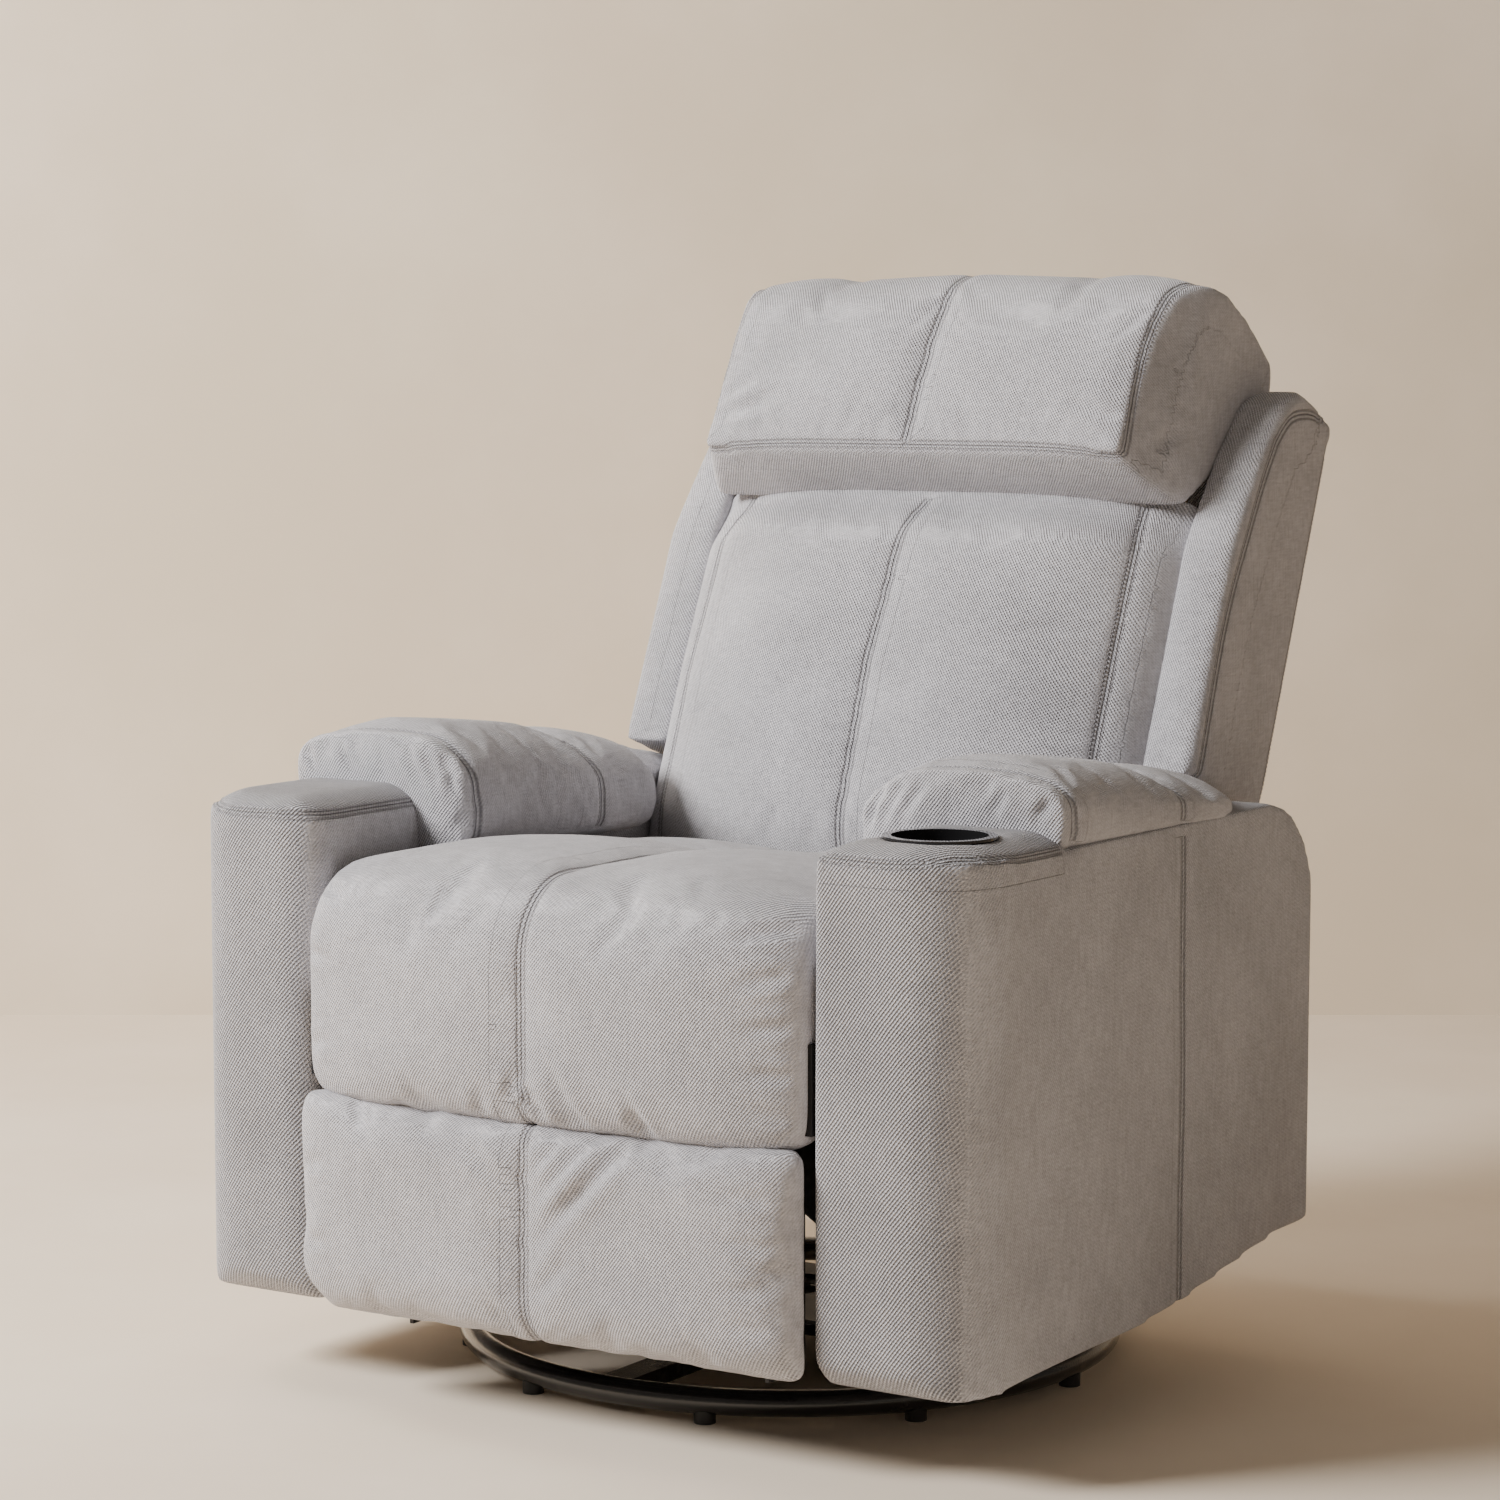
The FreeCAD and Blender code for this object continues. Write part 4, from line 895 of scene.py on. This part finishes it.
def add_arm(way, label):
    side_view = ([(-arm_front, 0.106), (-arm_front + 0.026, 0.080), (-0.060, 0.090), (0.16, 0.120),
                  (arm_rear, 0.120), (arm_rear, panel_height - rear_round)]
                 + arc(arm_rear - rear_round, panel_height - rear_round, rear_round, 0, 90)
                 + [(shelf_rear, panel_height), (shelf_rear, shelf_height), (-arm_front, shelf_height)])
    inner_round = 0.010 if way > 0 else 0.040
    plan = ([(arm_inner, arm_rear + 0.01), (arm_outer, arm_rear + 0.01)]
            + [(arm_outer - corner_across * (1 - math.cos(math.radians(turn))),
                -arm_front + corner_back * (1 - math.sin(math.radians(turn))))
               for turn in range(0, 91, 9)]
            + arc(arm_inner + inner_round, -arm_front + inner_round + 0.003, inner_round, -100, -180, 6))
    solid = carved("arm_cover_" + label,
                   prism("plan", [(x * way, y) for x, y in plan], 0.05, 0.62,
                         lambda u, v, w: (u, v, w)),
                   prism("side_view", side_view, 0.2 * way, 0.5 * way, lambda u, v, w: (w, u, v)),
                   "INTERSECT")
    if way > 0:
        round_hole = [(cup_place[0] + u, cup_place[1] + v) for u, v in arc(0, 0, cup_hole, 0, 350, 35)]
        solid = carved("arm_cover_" + label, solid,
                       prism("cup_hole", round_hole, 0.487, 0.62, lambda u, v, w: (u, v, w)))
    arm = even_skin("arm_cover_" + label, solid, 0.0074, 4)
    points = points_of(arm)
    normals = normals_of(arm)
    flat = ease(numpy.abs(normals[:, 0]), 0.8, 0.97) * ease(points[:, 0] * way, 0.38, 0.42)
    bulge = (dip(points[:, 1] + 0.24, 0.14) + dip(points[:, 1] - 0.09, 0.09)) * dip(points[:, 2] - 0.30, 0.2)
    ripple = numpy.sin(points[:, 1] * 31 + points[:, 2] * 9) * numpy.sin(points[:, 2] * 23 + 1.0)
    points[:, 0] += way * flat * (0.0045 * bulge + 0.0008 * ripple - 0.002)
    fore = ease(-normals[:, 1], 0.6, 0.95)
    points[:, 1] -= fore * (0.0035 * dip(points[:, 2] - 0.33, 0.16) - 0.002)
    turn_x = numpy.maximum(points[:, 0] * way - arm_outer + corner_across, 0.0) / corner_across
    turn_y = numpy.maximum(corner_back - arm_front - points[:, 1], 0.0) / corner_back
    rim = numpy.minimum(corner_across * (1 - numpy.hypot(turn_x, turn_y)),
                        points[:, 0] * way - arm_inner)
    shelf = ease(points[:, 2], shelf_height - 0.035, shelf_height) * ease(-points[:, 1], 0.245, 0.265)
    points[:, 2] -= 0.011 * shelf * (1 - ease(rim, 0.0, 0.034))
    set_points(arm, points)
    finer(arm, 2)
    shelf_edge = shelf_height - 0.014
    front_seam = [(way * arm_inner, -0.272, shelf_edge), (way * arm_inner, -0.340, shelf_edge),
                  (way * arm_inner, -0.400, shelf_edge), (way * 0.284, -0.430, shelf_edge),
                  (way * 0.31, -0.437, shelf_edge), (way * 0.35, -0.439, shelf_edge),
                  (way * 0.385, -0.428, shelf_edge), (way * 0.412, -0.398, shelf_edge),
                  (way * 0.425, -0.360, shelf_edge), (way * 0.428, -0.315, shelf_edge),
                  (way * 0.428, -0.272, shelf_edge)]
    seams = [(front_seam, double_row, 0.0018, 0.0045)]
    joint_y = -0.038
    seams.append(([(way * 0.432, joint_y, 0.528), (way * 0.434, joint_y, 0.40),
                   (way * 0.434, joint_y, 0.24), (way * 0.430, joint_y, 0.094)],
                  double_row, 0.0020, 0.0045))
    nodes = ["arm_outer_panel_", "arm_inner_panel_", "arm_front_", "arm_cap_"]
    upholster(arm, "chair", [node + label for node in nodes] + ["arm_rear_strips"], seams,
              material=bold_chenille)


add_arm(-1, "left")
add_arm(1, "right")

# ---- Arm pads --------------------------------------------------------------------------------
# A loose-looking stuffed pad on top of each arm that rolls over its inner edge.  A gathered
# front panel is joined on with a roped seam, and a second seam crosses the pad half way back.


def add_pad(way, label):
    front_y = -0.268
    rear_y = 0.213
    rings = 74
    across = 56
    squareness = 0.5
    corners = []
    for ring in range(rings):
        part = ring / (rings - 1)
        y = front_y + (rear_y - front_y) * part
        tail = 1 - math.sqrt(max(0.0, 1 - max(0.0, (part - 0.93) / 0.07) ** 2))
        roll = 1 - ease(part, 0.66, 0.78)
        nose = 1 - ease(part, 0.0, 0.035)
        top = 0.609 - 0.032 * part - 0.036 * part ** 2 - 0.016 * tail - 0.005 * nose
        outer_x = 0.430 - 0.002 * nose - 0.075 * ease(part, 0.64, 1.0)
        outer_z = 0.528
        inner_x = 0.218 + 0.055 * (1 - roll) + 0.004 * nose
        inner_z = 0.480 + 0.048 * (1 - roll)
        section = []
        for step in range(across):
            turn = 2 * math.pi * step / across
            reach = math.copysign(abs(math.cos(turn)) ** squareness, math.cos(turn))
            rise = math.copysign(abs(math.sin(turn)) ** squareness, math.sin(turn))
            x = (outer_x + inner_x) / 2 + (outer_x - inner_x) / 2 * reach
            share = (x - inner_x) / (outer_x - inner_x)
            low = inner_z + (outer_z - inner_z) * ease(share, 0.15, 0.55)
            high = top - 0.010 * (2 * share - 1) ** 2 - 0.010 * ease(0.25 - share, 0, 0.25)
            z = (low + high) / 2 + (high - low) / 2 * rise
            section.append((x * way, y, z))
        corners += section
    faces = [(ring * across + step, ring * across + (step + 1) % across,
              (ring + 1) * across + (step + 1) % across, (ring + 1) * across + step)
             for ring in range(rings - 1) for step in range(across)]
    faces.append(tuple(range(across)))
    faces.append(tuple(range((rings - 1) * across, rings * across)))
    pad = even_skin("arm_pad_cover_" + label, closed_mesh("arm_pad", corners, faces), 0.0058, 5)

    def pad_hold(points, normals):
        outer = ease(0.562 - points[:, 2], 0.0, 0.015) * ease(points[:, 0] * way, 0.30, 0.33)
        front = dip(points[:, 1] - front_y - 0.022, 0.007) * ease(points[:, 2], 0.53, 0.56)
        middle = dip(points[:, 1] + 0.040, 0.007)
        below = ease(-normals[:, 2], 0.3, 0.7)
        return numpy.maximum.reduce([outer, front, middle, below])

    swell(pad, pad_hold, 0.009, pressure=4.0, spare=0.02, bending=0.35)
    finer(pad)

    def over(y, lift=0.0):
        return [(way * 0.432, y, 0.545), (way * 0.432, y, 0.570), (way * 0.415, y, 0.600 + lift),
                (way * 0.37, y, 0.614 + lift), (way * 0.32, y, 0.616 + lift),
                (way * 0.27, y, 0.606 + lift), (way * 0.232, y, 0.588 + lift),
                (way * 0.215, y, 0.558), (way * 0.216, y, 0.52),
                (way * 0.222, y, 0.495)]

    seams = [(over(front_y + 0.020, -0.004), double_row, 0.0045, 0.0055),
             (over(-0.040), double_row, 0.0026, 0.0060)]
    creases = []
    for x, z, length, tilt in (
            (0.248, 0.588, 0.050, -118), (0.270, 0.592, 0.060, -122), (0.292, 0.595, 0.055, -125),
            (0.240, 0.570, 0.030, -110), (0.372, 0.590, 0.035, -122), (0.415, 0.585, 0.030, -128)):
        end = (x + length * math.cos(math.radians(tilt)), z + length * math.sin(math.radians(tilt)))
        creases.append(((way * x, front_y, z), (way * end[0], front_y, end[1]), 0.0050, 0.0030))
    upholster(pad, "chair", ["arm_pad_" + label], seams, creases)


add_pad(-1, "left")
add_pad(1, "right")

# ---- Back panels -----------------------------------------------------------------------------
# The outside back, the flap that hangs below it and the skirt between the arms are plain
# lined panels with a faint ripple.

for node, body, voxel in (("back_rear_panel", "back", 0.0062), ("back_lower_flap", "back", 0.0062),
                          ("rear_skirt", "chair", 0.0055)):
    panel = even_skin(node + "_cover", cad_mesh(node), voxel, 2)
    points = points_of(panel)
    normals = normals_of(panel)
    ripple = numpy.sin(points[:, 0] * 19 + points[:, 2] * 11) * numpy.sin(points[:, 2] * 27 + 0.6)
    set_points(panel, points + normals * (0.0010 * ripple)[:, None])
    finer(panel)
    upholster(panel, body, [node], [])

# ---- Cup holder ------------------------------------------------------------------------------
# A deep gloss black plastic cup dropped into the right arm's shelf, with a slim rolled rim.

gloss_plastic = Finish("gloss_black_plastic", Base_Color=(0.012, 0.012, 0.013, 1), Roughness=0.16,
                       Coat_Weight=0.4)
smears = gloss_plastic.noise(gloss_plastic.place(), 60.0, 4.0, 0.6)
gloss_plastic.feed("Roughness", smears * 0.16 + 0.08)


def repaint(finish, *names):
    for name in names:
        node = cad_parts[name]
        if not node.material_slots:
            node.data.materials.append(finish.material)
        for holder in node.material_slots:
            holder.material = finish.material


repaint(gloss_plastic, "cup_holder")

# ---- Ring base -------------------------------------------------------------------------------
# A bent steel tube ring in gloss black powder coat on ten small plastic feet, with four flat
# spokes to a hub plate that carries the ball race.

powder_coat = Finish("gloss_black_powder_coat", Base_Color=(0.014, 0.014, 0.015, 1),
                     Roughness=0.22, Coat_Weight=0.5, Coat_Roughness=0.12)
peel = powder_coat.noise(powder_coat.place(), 420.0, 3.0, 0.55)
dust = powder_coat.noise(powder_coat.place(), 14.0, 5.0, 0.6).between(0.45, 0.8)
powder_coat.feed("Roughness", dust * 0.22 + 0.18)
powder_coat.relief(peel, 0.0003)
repaint(powder_coat, "base_ring", "base_spokes", "base_hub")

foot_plastic = Finish("black_foot_plastic", Roughness=0.5)
grain = foot_plastic.noise(foot_plastic.place(), 900.0, 3.0, 0.6)
foot_plastic.feed("Base Color", foot_plastic.blend_colour(grain, (0.012, 0.012, 0.012, 1),
                                                          (0.028, 0.028, 0.028, 1)))
foot_plastic.relief(grain, 0.0002)
repaint(foot_plastic, "base_feet")

# ---- Mechanism -------------------------------------------------------------------------------
# Pressed and riveted steel in satin dark grey, with bare steel pins, races and balls.

dark_steel = Finish("satin_dark_steel", Metallic=0.6, Roughness=0.45)
scuffs = dark_steel.noise(dark_steel.stretched(dark_steel.place(), (30.0, 160.0, 160.0)), 1.0, 5.0, 0.65)
dark_steel.feed("Base Color", dark_steel.blend_colour(scuffs.between(0.4, 0.75),
                                                      (0.035, 0.035, 0.038, 1), (0.085, 0.085, 0.09, 1)))
dark_steel.feed("Roughness", scuffs * 0.35 + 0.3)
dark_steel.relief(dark_steel.noise(dark_steel.place(), 500.0, 2.0), 0.0002)
repaint(dark_steel, "carriage_side_left", "carriage_side_right", "mechanism_plate_left",
        "mechanism_plate_right", "glide_link_front_left", "glide_link_front_right",
        "glide_link_rear_left", "glide_link_rear_right", "lift_bar_left", "lift_bar_right",
        "slide_bar_left", "slide_bar_right", "brace_bars", "footrest_arm_left",
        "footrest_arm_right", "rail_brackets", "recline_brackets", "cross_tubes", "swivel_plate",
        "seat_springs", "back_springs", "release_tab")

bare_steel = Finish("bare_steel", Metallic=1.0, Roughness=0.3)
turning = bare_steel.noise(bare_steel.stretched(bare_steel.place(), (700.0, 700.0, 90.0)), 1.0, 3.0)
bare_steel.feed("Base Color", bare_steel.blend_colour(turning, (0.42, 0.42, 0.43, 1),
                                                      (0.62, 0.62, 0.63, 1)))
bare_steel.feed("Roughness", turning * 0.25 + 0.2)
repaint(bare_steel, "carriage_pivot_pins", "seat_pivot_pins", "bearing_balls", "lower_race",
        "upper_race", "deck_screws")

# ---- Timber frame ----------------------------------------------------------------------------
# Birch plywood boards.  Those that show in the gaps round the seat are wrapped in black lining.

birch = Finish("birch_plywood", Roughness=0.6)
rings = birch.noise(birch.stretched(birch.place(), (9.0, 60.0, 60.0)), 1.0, 5.0, 0.6)
birch.feed("Base Color", birch.blend_colour(rings.between(0.3, 0.7), (0.45, 0.30, 0.17, 1),
                                            (0.66, 0.50, 0.33, 1)))
birch.relief(rings, 0.0004)
repaint(birch, "arm_frame_left", "arm_frame_right", "back_posts", "back_rails")

lining = Finish("black_lining", Roughness=0.95, Specular_IOR_Level=0.1)
felt = lining.noise(lining.place(), 800.0, 4.0, 0.7)
lining.feed("Base Color", lining.blend_colour(felt, (0.010, 0.010, 0.011, 1), (0.034, 0.033, 0.034, 1)))
lining.relief(felt, 0.0005)
repaint(lining, "seat_cross_rails", "seat_side_rails", "footrest_board")
